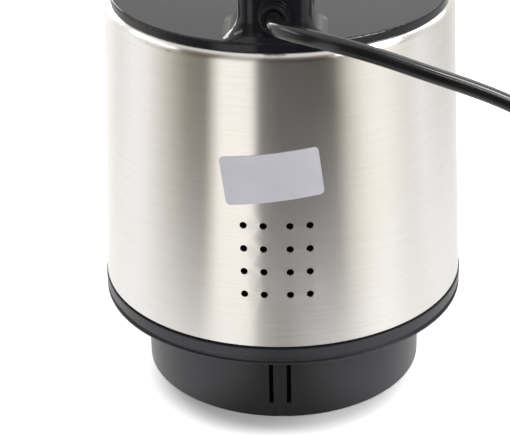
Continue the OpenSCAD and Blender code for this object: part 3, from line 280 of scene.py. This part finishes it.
def foil_label(slot):
    """Bare satin foil, faintly rolled in one direction, a little darker in blotches."""
    foil = Finish(slot, colours().label, 0.38, IOR=1.45)
    rolled = foil.noise(foil.place((2600, 2600, 90)))
    slow = foil.noise(foil.place(), scale=60.0)
    foil.shade(slow, 0.96, 1.04)
    foil.roughen(rolled, 0.32, 0.46)
    foil.bump(rolled, 0.000008, 0.5)
    return foil.material


def turned_metal(slot, colour, roughness=0.2, pitch=0.0003):
    """Ground or turned round Z: fine rings and a slow change of gloss."""
    metal = Finish(slot, colour, roughness, metallic=1.0, Anisotropic=0.4)
    rings = metal.noise(metal.place((40, 40, 1 / pitch)))
    slow = metal.noise(metal.place(), scale=90.0)
    metal.shade(slow, 0.92, 1.05)
    metal.roughen(rings, roughness * 0.8, roughness * 1.3)
    metal.bump(rings, 0.00001, 0.5)
    return metal.material


def plated_metal(slot, colour, roughness=0.32):
    """Zinc or nickel plating: small crystal patches of slightly different brightness."""
    metal = Finish(slot, colour, roughness, metallic=1.0)
    cells = metal.node("TexVoronoi", {"Vector": metal.place(), "Scale": 900.0})
    patch = metal.node("SeparateColor", {"Color": cells.outputs["Color"]}).outputs["Red"]
    fine = metal.noise(metal.place(), scale=2400.0)
    metal.shade(patch, 0.82, 1.08, start=0.0, stop=1.0)
    metal.roughen(patch, roughness * 0.8, roughness * 1.3, start=0.0, stop=1.0)
    metal.bump(fine, 0.00001, 0.5)
    return metal.material


def rough_metal(slot, colour, roughness=0.45, grain=0.0006, depth=0.00006):
    """Die cast or sintered: a sandy skin with darker pits."""
    metal = Finish(slot, colour, roughness, metallic=1.0)
    sand = metal.noise(metal.place(), scale=0.5 / grain, detail=4.0, rough=0.65)
    slow = metal.noise(metal.place(), scale=45.0)
    metal.shade(sand, 0.8, 1.08, start=0.35, stop=0.65)
    metal.roughen(slow, roughness * 0.85, roughness * 1.2)
    metal.bump(sand, depth, 0.6)
    return metal.material


def stacked_sheets(slot, sheet_t=0.0005):
    """Lacquered sheets stacked along Z, with dark joints."""
    sheets = Finish(slot, (0.24, 0.25, 0.27), 0.42, metallic=0.85)
    # At this scale, 2 pi / 20, the wave texture makes one wave to the unit
    one_wave = 0.3142
    wave = sheets.node(
        "TexWave",
        {"Vector": sheets.place((0, 0, 1 / sheet_t)), "Scale": one_wave, "Distortion": 0.0},
        wave_type="BANDS", bands_direction="Z", wave_profile="SIN").outputs["Fac"]
    sheets.shade(wave, 0.45, 1.1, start=0.1, stop=0.4)
    sheets.roughen(wave, 0.55, 0.38, start=0.0, stop=1.0)
    sheets.bump(wave, 0.00008, 0.6)
    return sheets.material


def wound_wire(slot):
    """Enamelled wire laid side by side, with a varnish gloss."""
    wire = Finish(
        slot, (0.46, 0.15, 0.05), 0.22, metallic=0.9, Coat_Weight=0.5, Coat_Roughness=0.15)
    turns = wire.node(
        "TexWave",
        {"Vector": wire.place((0.7, 0.7, 1.0)), "Scale": 420.0, "Distortion": 3.0,
         "Detail": 2.0, "Detail Scale": 1.5},
        wave_type="BANDS", bands_direction="DIAGONAL").outputs["Fac"]
    wire.shade(turns, 0.45, 1.15, start=0.1, stop=0.7)
    wire.bump(turns, 0.0002, 0.7)
    return wire.material


def copper_bars(slot):
    """Turned commutator bars, brushed round Z by the carbons."""
    bars = Finish(slot, (0.60, 0.26, 0.12), 0.3, metallic=1.0)
    rings = bars.noise(bars.place((60, 60, 4000)))
    bars.shade(rings, 0.75, 1.05)
    bars.roughen(rings, 0.22, 0.4)
    bars.bump(rings, 0.00001, 0.5)
    return bars.material


def nylon(slot, colour):
    """Filled nylon: slightly translucent, with faint flow marks."""
    gear = Finish(
        slot, colour, 0.38, IOR=1.53, Subsurface_Weight=0.12, Subsurface_Scale=0.002)
    flow = gear.noise(gear.place((30, 30, 8)), detail=3.0)
    fine = gear.noise(gear.place(), scale=1500.0)
    gear.shade(flow, 0.9, 1.06)
    gear.roughen(fine, 0.32, 0.46)
    gear.bump(fine, 0.00001, 0.5)
    return gear.material


def soft_rubber(slot):
    """Dull black rubber with a pale bloom."""
    rubber = Finish(
        slot, (0.018, 0.018, 0.018), 0.7, IOR=1.5, Sheen_Weight=0.15, Sheen_Roughness=0.5)
    fine = rubber.noise(rubber.place(), scale=1100.0, detail=3.0)
    bloom = rubber.noise(rubber.place(), scale=70.0, detail=3.0)
    rubber.shade(bloom, 0.8, 1.5)
    rubber.roughen(fine, 0.6, 0.8)
    rubber.bump(fine, 0.00003, 0.6)
    return rubber.material


def board_laminate(slot):
    """Green lacquer over a glass weave."""
    board = Finish(
        slot, (0.02, 0.13, 0.05), 0.25, IOR=1.5, Coat_Weight=0.4, Coat_Roughness=0.12)
    weave = board.node("TexChecker", {"Vector": board.place(), "Scale": 1500.0})
    slow = board.noise(board.place(), scale=120.0)
    board.shade(slow, 0.75, 1.25)
    board.bump(weave.outputs["Fac"], 0.00001, 0.4)
    return board.material


def carbon_block(slot):
    """Pressed carbon with bright grit."""
    carbon = Finish(slot, (0.022, 0.022, 0.024), 0.55, metallic=0.2)
    grit = carbon.noise(carbon.place(), scale=2600.0, detail=4.0, rough=0.7)
    carbon.shade(grit, 0.6, 2.2, start=0.4, stop=0.8)
    carbon.roughen(grit, 0.42, 0.68)
    carbon.bump(grit, 0.00002, 0.6)
    return carbon.material


FINISHES = {
    "brushed_sleeve_steel": brushed_steel,
    "label_foil": foil_label,
    "charcoal_plastic": lambda slot: grained_plastic(slot, colours().collar, 0.34),
    "gloss_black_plastic": lambda slot: polished_plastic(slot, colours().cover),
    "cord_pvc": lambda slot: soft_pvc(slot, colours().cord),
    "plug_pvc": lambda slot: grained_plastic(slot, (0.013, 0.013, 0.014), 0.45),
    "zinc_steel": lambda slot: plated_metal(slot, (0.62, 0.63, 0.64)),
    "black_steel": lambda slot: plated_metal(slot, (0.06, 0.06, 0.065), 0.42),
    "spring_steel": lambda slot: turned_metal(slot, (0.60, 0.60, 0.61), 0.25),
    "ground_steel": lambda slot: turned_metal(slot, (0.66, 0.67, 0.68), 0.14),
    "sintered_steel": lambda slot: rough_metal(slot, (0.30, 0.31, 0.32), 0.38),
    "electrical_steel": stacked_sheets,
    "cast_aluminium": lambda slot: rough_metal(slot, (0.52, 0.53, 0.55), 0.42),
    "natural_nylon": lambda slot: nylon(slot, (0.70, 0.66, 0.56)),
    "red_nylon": lambda slot: nylon(slot, (0.52, 0.04, 0.02)),
    "inner_plastic": lambda slot: grained_plastic(slot, (0.48, 0.46, 0.41), 0.45),
    "black_phenolic": lambda slot: grained_plastic(slot, (0.018, 0.018, 0.020), 0.32),
    "dark_nylon": lambda slot: grained_plastic(slot, (0.035, 0.035, 0.040), 0.40),
    "board_laminate": board_laminate,
    "rubber_black": soft_rubber,
    "enamelled_copper": wound_wire,
    "copper_bars": copper_bars,
    "brass_sheet": lambda slot: plated_metal(slot, (0.66, 0.46, 0.17), 0.28),
    "plated_brass": lambda slot: plated_metal(slot, (0.70, 0.66, 0.56), 0.2),
    "carbon": carbon_block,
}


def finish_of(slot):
    """The one material of a slot, made the first time it is asked for."""
    return bpy.data.materials.get("finish_" + slot) or FINISHES[slot](slot)


def dress(*nodes):
    """Gives each node's solid the finish of its own slot."""
    for name in nodes:
        solid = frame["nodes"][name]
        material = finish_of(SLOT_OF[name])
        if not solid.material_slots:
            solid.data.materials.append(material)
        for place in solid.material_slots:
            place.material = material


def put(name, bm, slot, body):
    """Makes a bmesh a smooth shaded piece at the origin that rides on a body."""
    mesh = bpy.data.meshes.new(name)
    bmesh.ops.recalc_face_normals(bm, faces=bm.faces)
    bm.to_mesh(mesh)
    bm.free()
    piece = bpy.data.objects.new(name, mesh)
    bpy.context.scene.collection.objects.link(piece)
    mesh.materials.append(finish_of(slot))
    mesh.shade_smooth()
    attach(piece, body)
    return piece


# ---------------------------------------------------------------- mains cord

# Centre line of the hanging stretch, from the bush to where it nears the floor
CORD_ROUTE = [
    (0.0, -0.0725, 0.1885), (0.0, -0.079, 0.1885), (0.0018, -0.0868, 0.1894),
    (0.0066, -0.0934, 0.1904), (0.013, -0.0987, 0.1907), (0.0215, -0.1023, 0.1897),
    (0.032, -0.1035, 0.1872), (0.0445, -0.103, 0.1828), (0.057, -0.1025, 0.1779),
    (0.070, -0.1015, 0.1729), (0.082, -0.1005, 0.1678), (0.094, -0.100, 0.1618),
    (0.104, -0.100, 0.1543), (0.1125, -0.100, 0.144), (0.1185, -0.100, 0.1318),
    (0.1225, -0.100, 0.118), (0.125, -0.100, 0.104), (0.1265, -0.100, 0.090),
    (0.1275, -0.100, 0.076), (0.1285, -0.1003, 0.062), (0.130, -0.1006, 0.048),
    (0.1325, -0.101, 0.0345), (0.138, -0.1014, 0.022), (0.147, -0.1018, 0.0105),
]
# Where it comes down beside the coil's first turn
RUN_IN = (0.1555, -0.1022, 0.0054)
# Distances from the plug of the last points, where the cord runs straight into it
RUN_OUT = (0.024, 0.014, 0.0)
COIL_CENTRE = (0.165, -0.060)
# Degrees from +X at which the coil begins, and from one of its points to the next
COIL_START = -90.0
COIL_STEP = 22.5
FLOOR_GAP = 0.0001
# How high the cord stands where it comes down, and over how many degrees it settles
LANDING_LIFT = 0.0009
LANDING_SPREAD = 12
# How high the turns rise over the tie, and how far to each side of it, in degrees
TIE_LIFT = 0.0007
TIE_SPREAD = 24
# Degrees from +X to the tie, its thickness and its play round the cord
TIE_ANGLE = 150.0
TIE_THICKNESS = 0.0006
TIE_PLAY = 0.00005
# How far the tie's free end lies outside and above the strap under it
FREE_END_SHIFT = (TIE_THICKNESS + 0.0001, 0, 0.0003)
# Points round each of the circles that the tie is pulled over
TIE_SIDES = 40
PLUG_LOW, PLUG_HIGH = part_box("plug_body")
PLUG_ENTRY = ((PLUG_LOW.x + PLUG_HIGH.x) / 2, PLUG_LOW.y, (PLUG_LOW.z + PLUG_HIGH.z) / 2)

# The climb from the lower to the upper layer over a quarter turn: degrees; how far out from
# the innermost turn and how high the centre line is, both in cord diameters
CLIMB = [(0, 0.0, 0.5), (30, -0.09, 0.73), (60, 0.06, 1.23), (90, 0.4, 1.5)]


def coil_radius_and_height(swept):
    """Centre line of the coil after that many degrees: turns inward on the floor, a climb
    over a quarter turn, and one turn outward on top of them, in line with the plug."""
    d = sizes().cord_diameter
    outer = sizes().coil_outer
    lower = 360.0 * sizes().coil_turns
    inner = outer - d * sizes().coil_turns
    if swept <= lower:
        return outer - d * swept / 360, d / 2 + FLOOR_GAP
    past = swept - lower
    for (a0, r0, z0), (a1, r1, z1) in zip(CLIMB, CLIMB[1:]):
        if past <= a1:
            t = (past - a0) / (a1 - a0)
            return inner + (r0 + (r1 - r0) * t) * d, (z0 + (z1 - z0) * t) * d + FLOOR_GAP
    t = (past - CLIMB[-1][0]) / 360
    start = inner + CLIMB[-1][1] * d
    end = PLUG_ENTRY[0] - COIL_CENTRE[0]
    return start + (end - start) * t, CLIMB[-1][2] * d + FLOOR_GAP


def coil_points():
    """The turns, lifted a little over the tie and where the cord comes down on the floor."""
    points = []
    total = 360.0 * (sizes().coil_turns + 1) + CLIMB[-1][0]
    for k in range(round(total / COIL_STEP) + 1):
        swept = k * COIL_STEP
        r, z = coil_radius_and_height(swept)
        from_tie = (swept + COIL_START - TIE_ANGLE + 180) % 360 - 180
        z += TIE_LIFT * math.exp(-((from_tie / TIE_SPREAD) ** 2))
        z += LANDING_LIFT * math.exp(-swept / LANDING_SPREAD)
        a = math.radians(swept + COIL_START)
        points.append((COIL_CENTRE[0] + r * math.cos(a), COIL_CENTRE[1] + r * math.sin(a), z))
    return points


def cord_points():
    """The whole route, from the bush to the plug."""
    x, y, z = PLUG_ENTRY
    run_out = [(x, y - before, z) for before in RUN_OUT]
    return CORD_ROUTE + [RUN_IN] + coil_points() + run_out


def smooth_line(points, steps=6, easing=12):
    """Catmull-Rom points through the given ones, with so many steps from each to the next,
    eased in so many rounds so that no bend is sudden."""
    p = [Vector(q) for q in points]
    p = [p[0] * 2 - p[1]] + p + [p[-1] * 2 - p[-2]]
    made = []
    for a, b, c, d in zip(p, p[1:], p[2:], p[3:]):
        for k in range(steps):
            t = k / steps
            made.append(0.5 * ((2 * b) + (c - a) * t + (2 * a - 5 * b + 4 * c - d) * t * t
                               + (3 * b - a - 3 * c + d) * t * t * t))
    made.append(p[-2].copy())
    for _ in range(easing):
        made[1:-1] = [(a + 2 * b + c) / 4 for a, b, c in zip(made, made[1:], made[2:])]
    return made


def coil_tie():
    """Flat strap pulled taut round the turns, with its free end lying on the outside."""
    radius = sizes().cord_diameter / 2 + TIE_PLAY
    width = sizes().tie_width
    upright = Matrix.Rotation(math.pi / 2, 4, "X")
    bm = bmesh.new()
    for turn in range(sizes().coil_turns + 1):
        r, z = coil_radius_and_height(TIE_ANGLE - COIL_START + 360.0 * turn)
        for side in (-width / 2, width / 2):
            centre = Matrix.Translation((r, side, z + TIE_LIFT))
            bmesh.ops.create_circle(
                bm, segments=TIE_SIDES, radius=radius, matrix=centre @ upright)
    bmesh.ops.convex_hull(bm, input=bm.verts)
    bmesh.ops.delete(bm, geom=[v for v in bm.verts if not v.link_faces], context="VERTS")
    ends = [f for f in bm.faces if abs(f.normal.y) > 0.5]
    bmesh.ops.delete(bm, geom=ends, context="FACES")
    bmesh.ops.delete(bm, geom=[e for e in bm.edges if not e.link_faces], context="EDGES")
    bmesh.ops.recalc_face_normals(bm, faces=bm.faces)
    outside = [f for f in bm.faces if f.normal.x > 0.3]
    free_end = bmesh.ops.duplicate(bm, geom=outside)["geom"]
    bmesh.ops.translate(bm, verts=[g for g in free_end if isinstance(g, bmesh.types.BMVert)],
                        vec=FREE_END_SHIFT)
    bmesh.ops.solidify(bm, geom=bm.faces, thickness=-TIE_THICKNESS)
    bmesh.ops.rotate(bm, verts=bm.verts, cent=(0, 0, 0),
                     matrix=Matrix.Rotation(math.radians(TIE_ANGLE), 3, "Z"))
    bmesh.ops.translate(bm, verts=bm.verts, vec=(*COIL_CENTRE, 0))
    return put("cord_tie", bm, "plug_pvc", "head")


class HEAD_OT_mains_cord(bpy.types.Operator):
    """The loose mains cord in one smooth line, from the bush to the plug, with its coil"""

    bl_idname = "grinder_head.mains_cord"
    bl_label = "Mains cord"

    def execute(self, context):
        line = smooth_line(cord_points())
        curve = bpy.data.curves.new("mains_cord", "CURVE")
        curve.dimensions = "3D"
        curve.bevel_depth = sizes().cord_diameter / 2
        curve.bevel_resolution = 6
        curve.use_fill_caps = True
        spline = curve.splines.new("POLY")
        spline.points.add(len(line) - 1)
        for point, place in zip(spline.points, line):
            point.co = (*place, 1)
        spline.use_smooth = True
        cord = bpy.data.objects.new("mains_cord", curve)
        context.scene.collection.objects.link(cord)
        curve.materials.append(finish_of("cord_pvc"))
        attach(cord, "head")
        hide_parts("cord", "cord_coil")
        on_cord = [coil_tie(), frame["nodes"]["plug_body"], frame["nodes"]["plug_pins"]]
        for piece in (cord, *on_cord):
            piece.visible_glossy = False
        dress("plug_body", "plug_pins", "cord_tail", "cable_bush")
        return {"FINISHED"}


# ---------------------------------------------------------------- button springs

SPRING_WIRE = 0.0008
SPRING_TURNS = 4
# Part of a turn that lies flat at each end
SPRING_FLAT = 0.75
# Faces round the wire, and along one turn
WIRE_SIDES = 10
TURN_STEPS = 32


def button_spring(name, node):
    """Compression spring with flat ends. It stands on the switch carrier."""
    low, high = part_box(node)
    middle = (low + high) / 2
    radius = (high.x - low.x - SPRING_WIRE) / 2
    bm = bmesh.new()
    section = bmesh.ops.create_circle(bm, segments=WIRE_SIDES, radius=SPRING_WIRE / 2)["verts"]
    bmesh.ops.rotate(bm, verts=section, matrix=Matrix.Rotation(math.pi / 2, 3, "X"))
    bmesh.ops.translate(
        bm, verts=section, vec=(middle.x + radius, middle.y, low.z + SPRING_WIRE / 2))
    end = bm.verts[:] + bm.edges[:]
    climb = high.z - low.z - SPRING_WIRE
    for turns, rise in ((SPRING_FLAT, 0.0), (SPRING_TURNS - 2 * SPRING_FLAT, climb),
                        (SPRING_FLAT, 0.0)):
        steps = round(turns * TURN_STEPS)
        end = bmesh.ops.spin(
            bm, geom=end, cent=middle, axis=(0, 0, 1), dvec=(0, 0, rise / steps),
            angle=turns * math.tau, steps=steps)["geom_last"]
    bmesh.ops.holes_fill(bm, edges=[e for e in bm.edges if e.is_boundary])
    spring = put(name, bm, "spring_steel", "head")
    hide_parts(node)
    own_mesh(spring)


class HEAD_OT_button_springs(bpy.types.Operator):
    """The two springs that push the buttons back up"""

    bl_idname = "grinder_head.button_springs"
    bl_label = "Button springs"

    def execute(self, context):
        button_spring("low_spring", "button_spring_low")
        button_spring("high_spring", "button_spring_high")
        return {"FINISHED"}


# ---------------------------------------------------------------- groups of solids


class HEAD_OT_sleeve(bpy.types.Operator):
    """Brushed steel sleeve with its vents and the bare label"""

    bl_idname = "grinder_head.sleeve"
    bl_label = "Steel sleeve"

    def execute(self, context):
        dress("steel_sleeve", "rating_label")
        return {"FINISHED"}


class HEAD_OT_base(bpy.types.Operator):
    """Collar, flange and bottom plate with its screws"""

    bl_idname = "grinder_head.base"
    bl_label = "Base"

    def execute(self, context):
        dress("base_housing", "base_plate", "base_screws")
        return {"FINISHED"}


class HEAD_OT_cover(bpy.types.Operator):
    """Polished cover, handle and the screws that hold them"""

    bl_idname = "grinder_head.cover"
    bl_label = "Cover and handle"

    def execute(self, context):
        dress("top_cover", "handle_cover", "housing_screws", "handle_screws")
        return {"FINISHED"}


class HEAD_OT_buttons(bpy.types.Operator):
    """Push buttons, plungers, switches and board"""

    bl_idname = "grinder_head.buttons"
    bl_label = "Buttons and switches"

    def execute(self, context):
        dress("button_low", "button_high", "switch_carrier", "micro_switches",
              "switch_plunger_low", "switch_plunger_high", "circuit_board")
        return {"FINISHED"}


class HEAD_OT_cord_parts(bpy.types.Operator):
    """Clamp and its screws in the rear post"""

    bl_idname = "grinder_head.cord_parts"
    bl_label = "Cord fastening"

    def execute(self, context):
        dress("cord_clamp", "clamp_screws")
        return {"FINISHED"}


class HEAD_OT_gearbox(bpy.types.Operator):
    """Planetary gearbox and the drive coupling"""

    bl_idname = "grinder_head.gearbox"
    bl_label = "Gearbox"

    def execute(self, context):
        dress("gearbox_housing", "rubber_dampers", "gearbox_screws", "output_bearing",
              "shaft_seal", "circlip", "ring_gear", "planet_carrier", "planet_pins",
              "planet_gear_1", "planet_gear_2", "planet_gear_3", "output_coupling",
              "coupling_screw", "sun_gear")
        return {"FINISHED"}


class HEAD_OT_motor(bpy.types.Operator):
    """Universal motor with its fan, brackets, bearings and brushes"""

    bl_idname = "grinder_head.motor"
    bl_label = "Motor"

    def execute(self, context):
        dress("motor_shaft", "cooling_fan", "armature_core", "armature_winding",
              "commutator", "lower_bracket", "lower_bearing", "stator_laminations",
              "field_coils", "upper_bracket", "upper_bearing", "brush_holders",
              "carbon_brushes", "brush_springs", "motor_bolts")
        return {"FINISHED"}


# ---------------------------------------------------------------- studio

# The lens is in millimetres on a sensor 36 mm wide, the roll in radians
CAMERA_AT = (0.02053, -0.67429, 0.40964)
CAMERA_LOOKS = (-0.04340531, 0.88986931, -0.454146)
CAMERA_ROLL = -0.0217
CAMERA_LENS = 117.83
CAMERA_SENSOR = 36.0
CAMERA_CLIP = (0.01, 20.0)

LAMPS_AIM = (0, 0, 0.1)
# name, place, size, power in watts, whether a shiny surface shows it
LAMPS = [
    ("lamp_front", (-0.50, -1.05, 0.90), (0.8, 0.22), 2.6, False),
    ("lamp_left", (-1.15, 0.05, 0.85), (1.0, 0.22), 2.0, True),
    ("lamp_right", (0.95, -0.55, 0.85), (0.9, 0.22), 3.0, True),
    ("lamp_rim", (-0.70, 1.0, 0.50), (0.25, 0.6), 3.0, True),
    ("lamp_back", (0.55, 0.60, 0.80), (0.35, 0.6), 1.2, True),
    ("lamp_top", (0.85, -0.15, 0.95), (0.35, 0.40), 6.5, True),
]

# What a shiny surface sees round the head:
# (degrees from the rear, +X side positive; level; warmth)
STUDIO_BANDS = [
    (-180, 0.98, 0.1), (-158, 0.80, 0.2), (-134, 0.98, 0.1), (-118, 0.84, 0.0),
    (-101, 0.98, 0.0), (-88, 0.94, 0.0), (-77, 0.71, 0.5), (-65, 0.40, 1.0), (-55, 0.20, 1.2),
    (-43, 0.15, 1.2), (-38.5, 0.70, 0.7), (-34, 1.16, 0.3), (-15.5, 1.14, 0.35), (-11, 0.12, 0.7),
    (-1, 0.05, 0.4), (18, 0.01, 1.2), (34, 0.03, 1.5), (43, 0.58, 0.8), (52, 0.87, 0.45),
    (72, 0.84, 0.5), (84, 0.81, 0.4), (96, 0.90, 0.0), (114, 0.74, 0.1), (130, 0.68, 0.2),
    (146, 0.82, 0.2), (162, 0.92, 0.1), (180, 0.98, 0.1),
]
# How much green and blue a band loses for each unit of its warmth
WARM_GREEN, WARM_BLUE = 0.09, 0.24

WHITE = (1, 1, 1, 1)
# The studio's dark part, high up at the rear, and how much it hides the bands
DARK_COLOUR = (0.08, 0.05, 0.02, 1)
DARK_SHARE = 0.70
# The directions over which it sets in: how high they point, and how far to the front
DARK_HEIGHTS = (0.0, 0.15)
DARK_DEPTHS = (0.35, -0.20)
# How high the directions point over which the ceiling turns white
CEILING_HEIGHTS = (0.70, 0.98)
# Light that dull surfaces gather from all round
SOFT_LEVEL = 0.50

TABLE_RADIUS, TABLE_SIDES = 2.5, 96
TABLE_COLOUR = (0.80, 0.80, 0.80, 1)
# Patches of the table: the middle, and the distances from it between which one fades out.
# A shiny surface sees a painted shade close under the head, in place of the head's shadow, white
# around it, and the bands outside TABLE_MIRRORED.
# FOOT_STRETCH is how many times a distance from the foot's patch counts along X and Y.
# Painted shade: the dark colour that shiny surfaces see on the table close under the head, where
# the head's shadow falls
FOOT_PAINTED_SHADE = (0.18, 0.14, 0.10, 1)
FOOT_PAINTED_SHADE_PATCH = ((0, -0.06), 0.03, 0.13)
FOOT_STRETCH = (2.4, 0.8)
TABLE_MIRRORED = ((0, 0.08), 0.14, 0.50)
HEAD_SHADOW = ((0, -0.020), 0.047, 0.065)
COIL_SHADOW = (COIL_CENTRE, 0.05, 0.09)
# Glow that turns the table white for the camera: all over, and more outside the two shadows
GLOW_ALL, GLOW_OUTSIDE = 0.02, 0.70


class Studio(Nodes):
    """The shader tree of the world or of the table top, begun empty."""

    def __init__(self, owner):
        super().__init__(owner)
        self.tree.nodes.clear()

    def bands(self, x, y):
        """Colour of STUDIO_BANDS for a direction, or for a place on the table."""
        angle = self.combine("ARCTAN2", x, self.combine("MULTIPLY", y, -1))
        turn = self.between(angle, 0, 1, start=-math.pi, stop=math.pi)
        ramp = self.node("ValToRGB", {"Fac": turn})
        stops = ramp.color_ramp.elements
        while len(stops) < len(STUDIO_BANDS):
            stops.new(0.5)
        for stop, (degrees, level, warmth) in zip(stops, STUDIO_BANDS):
            stop.position = (degrees + 180) / 360
            stop.color = (
                level, level * (1 - WARM_GREEN * warmth), level * (1 - WARM_BLUE * warmth), 1)
        return ramp.outputs["Color"]

    def reach(self, coords, centre, start, stop, stretch=(1, 1)):
        """Level from 0 to 1 as the distance from a place on the table goes from start to
        stop. The distance counts stretch times along X and Y."""
        moved = self.node("Mapping", {
            "Vector": coords, "Scale": (*stretch, 1),
            "Location": (-centre[0] * stretch[0], -centre[1] * stretch[1], 0)})
        far = self.node("VectorMath", {0: moved.outputs["Vector"]}, operation="LENGTH")
        return self.between(
            far.outputs["Value"], 0, 1, start, stop, interpolation_type="SMOOTHSTEP")

    def choose(self, share, first, second):
        """Shader that turns from first into second as share goes from 0 to 1."""
        return self.node("MixShader", {"Fac": share, 1: first, 2: second}).outputs[0]


def make_world(scene):
    """White for the camera, an even soft light for dull surfaces, and for shiny ones the bands
    with a dark part above them at the rear and a white ceiling."""
    world = bpy.data.worlds.new("studio")
    scene.world = world
    studio = Studio(world)
    coords = studio.node("TexCoord").outputs["Generated"]
    x, y, z = studio.node("SeparateXYZ", {0: coords}).outputs
    above = studio.between(z, 0, DARK_SHARE, *DARK_HEIGHTS)
    rear = studio.between(y, 0, 1, *DARK_DEPTHS)
    dark = studio.combine("MULTIPLY", above, rear)
    ceiling = studio.between(z, 0, 1, *CEILING_HEIGHTS, interpolation_type="SMOOTHSTEP")
    sky = studio.mix(ceiling, studio.mix(dark, studio.bands(x, y), DARK_COLOUR), WHITE)
    seen = studio.node("Background", {"Color": WHITE}).outputs[0]
    shiny = studio.node("Background", {"Color": sky}).outputs[0]
    soft = studio.node("Background", {"Color": WHITE, "Strength": SOFT_LEVEL}).outputs[0]
    path = studio.node("LightPath").outputs
    glossy = studio.combine("MAXIMUM", path["Is Glossy Ray"], path["Is Transmission Ray"])
    lit = studio.choose(glossy, soft, shiny)
    studio.node(
        "OutputWorld", {"Surface": studio.choose(path["Is Camera Ray"], lit, seen)})


def table_material():
    """White, with a shadow left where the head and the coil touch it. A shiny surface sees it glow
    with a painted shade under the head, in place of the head's shadow, then white, fading into
    the bands of the studio further out, and from below it is clear."""
    material = bpy.data.materials.new("table_white")
    studio = Studio(material)
    coords = studio.node("TexCoord").outputs["Object"]
    x, y, _ = studio.node("SeparateXYZ", {0: coords}).outputs
    # Share of the painted shade under the head that shiny surfaces see, fading out across its
    # patch
    under = studio.reach(coords, *FOOT_PAINTED_SHADE_PATCH, stretch=FOOT_STRETCH)
    around = studio.reach(coords, *TABLE_MIRRORED)
    shown = studio.mix(around, studio.mix(under, FOOT_PAINTED_SHADE, WHITE), studio.bands(x, y))
    # For shiny surfaces the table glows with this painted shade, white around it and the bands
    # further out
    glow_with_painted_shade = studio.node("Emission", {"Color": shown}).outputs[0]
    outside = studio.combine(
        "MULTIPLY", studio.reach(coords, *HEAD_SHADOW), studio.reach(coords, *COIL_SHADOW))
    glow = studio.combine("ADD", studio.combine("MULTIPLY", outside, GLOW_OUTSIDE), GLOW_ALL)
    path = studio.node("LightPath").outputs
    lift = studio.combine("MULTIPLY", glow, path["Is Camera Ray"])
    white = studio.node("BsdfDiffuse", {"Color": TABLE_COLOUR}).outputs[0]
    glowing = studio.node("Emission", {"Strength": lift}).outputs[0]
    seen = studio.node("AddShader", {0: white, 1: glowing}).outputs[0]
    top = studio.choose(path["Is Glossy Ray"], seen, glow_with_painted_shade)
    below = studio.node("NewGeometry").outputs["Backfacing"]
    hidden = studio.node("BsdfTransparent").outputs[0]
    studio.node("OutputMaterial", {"Surface": studio.choose(below, top, hidden)})
    return material


def make_floor(scene):
    """The table top, a wide disc."""
    bm = bmesh.new()
    bmesh.ops.create_circle(bm, cap_ends=True, segments=TABLE_SIDES, radius=TABLE_RADIUS)
    mesh = bpy.data.meshes.new("table_top")
    bm.to_mesh(mesh)
    bm.free()
    mesh.materials.append(table_material())
    floor = bpy.data.objects.new("table_top", mesh)
    scene.collection.objects.link(floor)


def make_lamps(scene):
    """Soft rectangular lamps, all aimed at the head."""
    for name, place, (wide, tall), watts, shown in LAMPS:
        light = bpy.data.lights.new(name, "AREA")
        light.shape = "RECTANGLE"
        light.size, light.size_y = wide, tall
        light.energy = watts
        lamp = bpy.data.objects.new(name, light)
        lamp.location = place
        aim = Vector(LAMPS_AIM) - Vector(place)
        lamp.rotation_euler = aim.to_track_quat("-Z", "Y").to_euler()
        lamp.visible_glossy = shown
        scene.collection.objects.link(lamp)


def make_camera(scene):
    """The camera, behind the head and above it."""
    data = bpy.data.cameras.new("camera")
    data.lens = CAMERA_LENS
    data.sensor_width = CAMERA_SENSOR
    data.clip_start, data.clip_end = CAMERA_CLIP
    camera = bpy.data.objects.new("camera", data)
    camera.location = CAMERA_AT
    camera.rotation_mode = "QUATERNION"
    aim = Vector(CAMERA_LOOKS).to_track_quat("-Z", "Y")
    camera.rotation_quaternion = aim @ Quaternion((0, 0, 1), CAMERA_ROLL)
    scene.collection.objects.link(camera)
    scene.camera = camera


class HEAD_OT_stage(bpy.types.Operator):
    """Camera, table top, soft lamps and surroundings"""

    bl_idname = "grinder_head.stage"
    bl_label = "Stage"

    def execute(self, context):
        scene = context.scene
        scene.view_settings.view_transform = "Standard"
        make_camera(scene)
        make_world(scene)
        make_floor(scene)
        make_lamps(scene)
        return {"FINISHED"}


# ---------------------------------------------------------------- panel

STEPS = [
    HEAD_OT_stage, HEAD_OT_mains_cord, HEAD_OT_button_springs, HEAD_OT_sleeve, HEAD_OT_base,
    HEAD_OT_cover, HEAD_OT_buttons, HEAD_OT_cord_parts, HEAD_OT_gearbox, HEAD_OT_motor,
]


class HEAD_PT_sidebar(bpy.types.Panel):
    """Sizes, colours and steps of the motor head"""

    bl_idname = "HEAD_PT_sidebar"
    bl_label = "Grinder Motor Head"
    bl_space_type = "VIEW_3D"
    bl_region_type = "UI"
    bl_category = "Grinder Head"

    def draw(self, context):
        for group in (sizes(), colours()):
            box = self.layout.box()
            for name in group.__annotations__:
                box.prop(group, name)
        for step in STEPS:
            self.layout.operator(step.bl_idname)


CLASSES = [HeadSizes, HeadColours, *STEPS, HEAD_PT_sidebar]


def register():
    for made in CLASSES:
        bpy.utils.register_class(made)
    bpy.types.Scene.grinder_head_sizes = PointerProperty(type=HeadSizes)
    bpy.types.Scene.grinder_head_colours = PointerProperty(type=HeadColours)


def unregister():
    del bpy.types.Scene.grinder_head_colours
    del bpy.types.Scene.grinder_head_sizes
    for made in reversed(CLASSES):
        bpy.utils.unregister_class(made)


def main():
    """Makes everything."""
    register()
    for step in STEPS:
        getattr(bpy.ops.grinder_head, step.bl_idname.split(".")[1])()


if __name__ == "__main__":
    main()
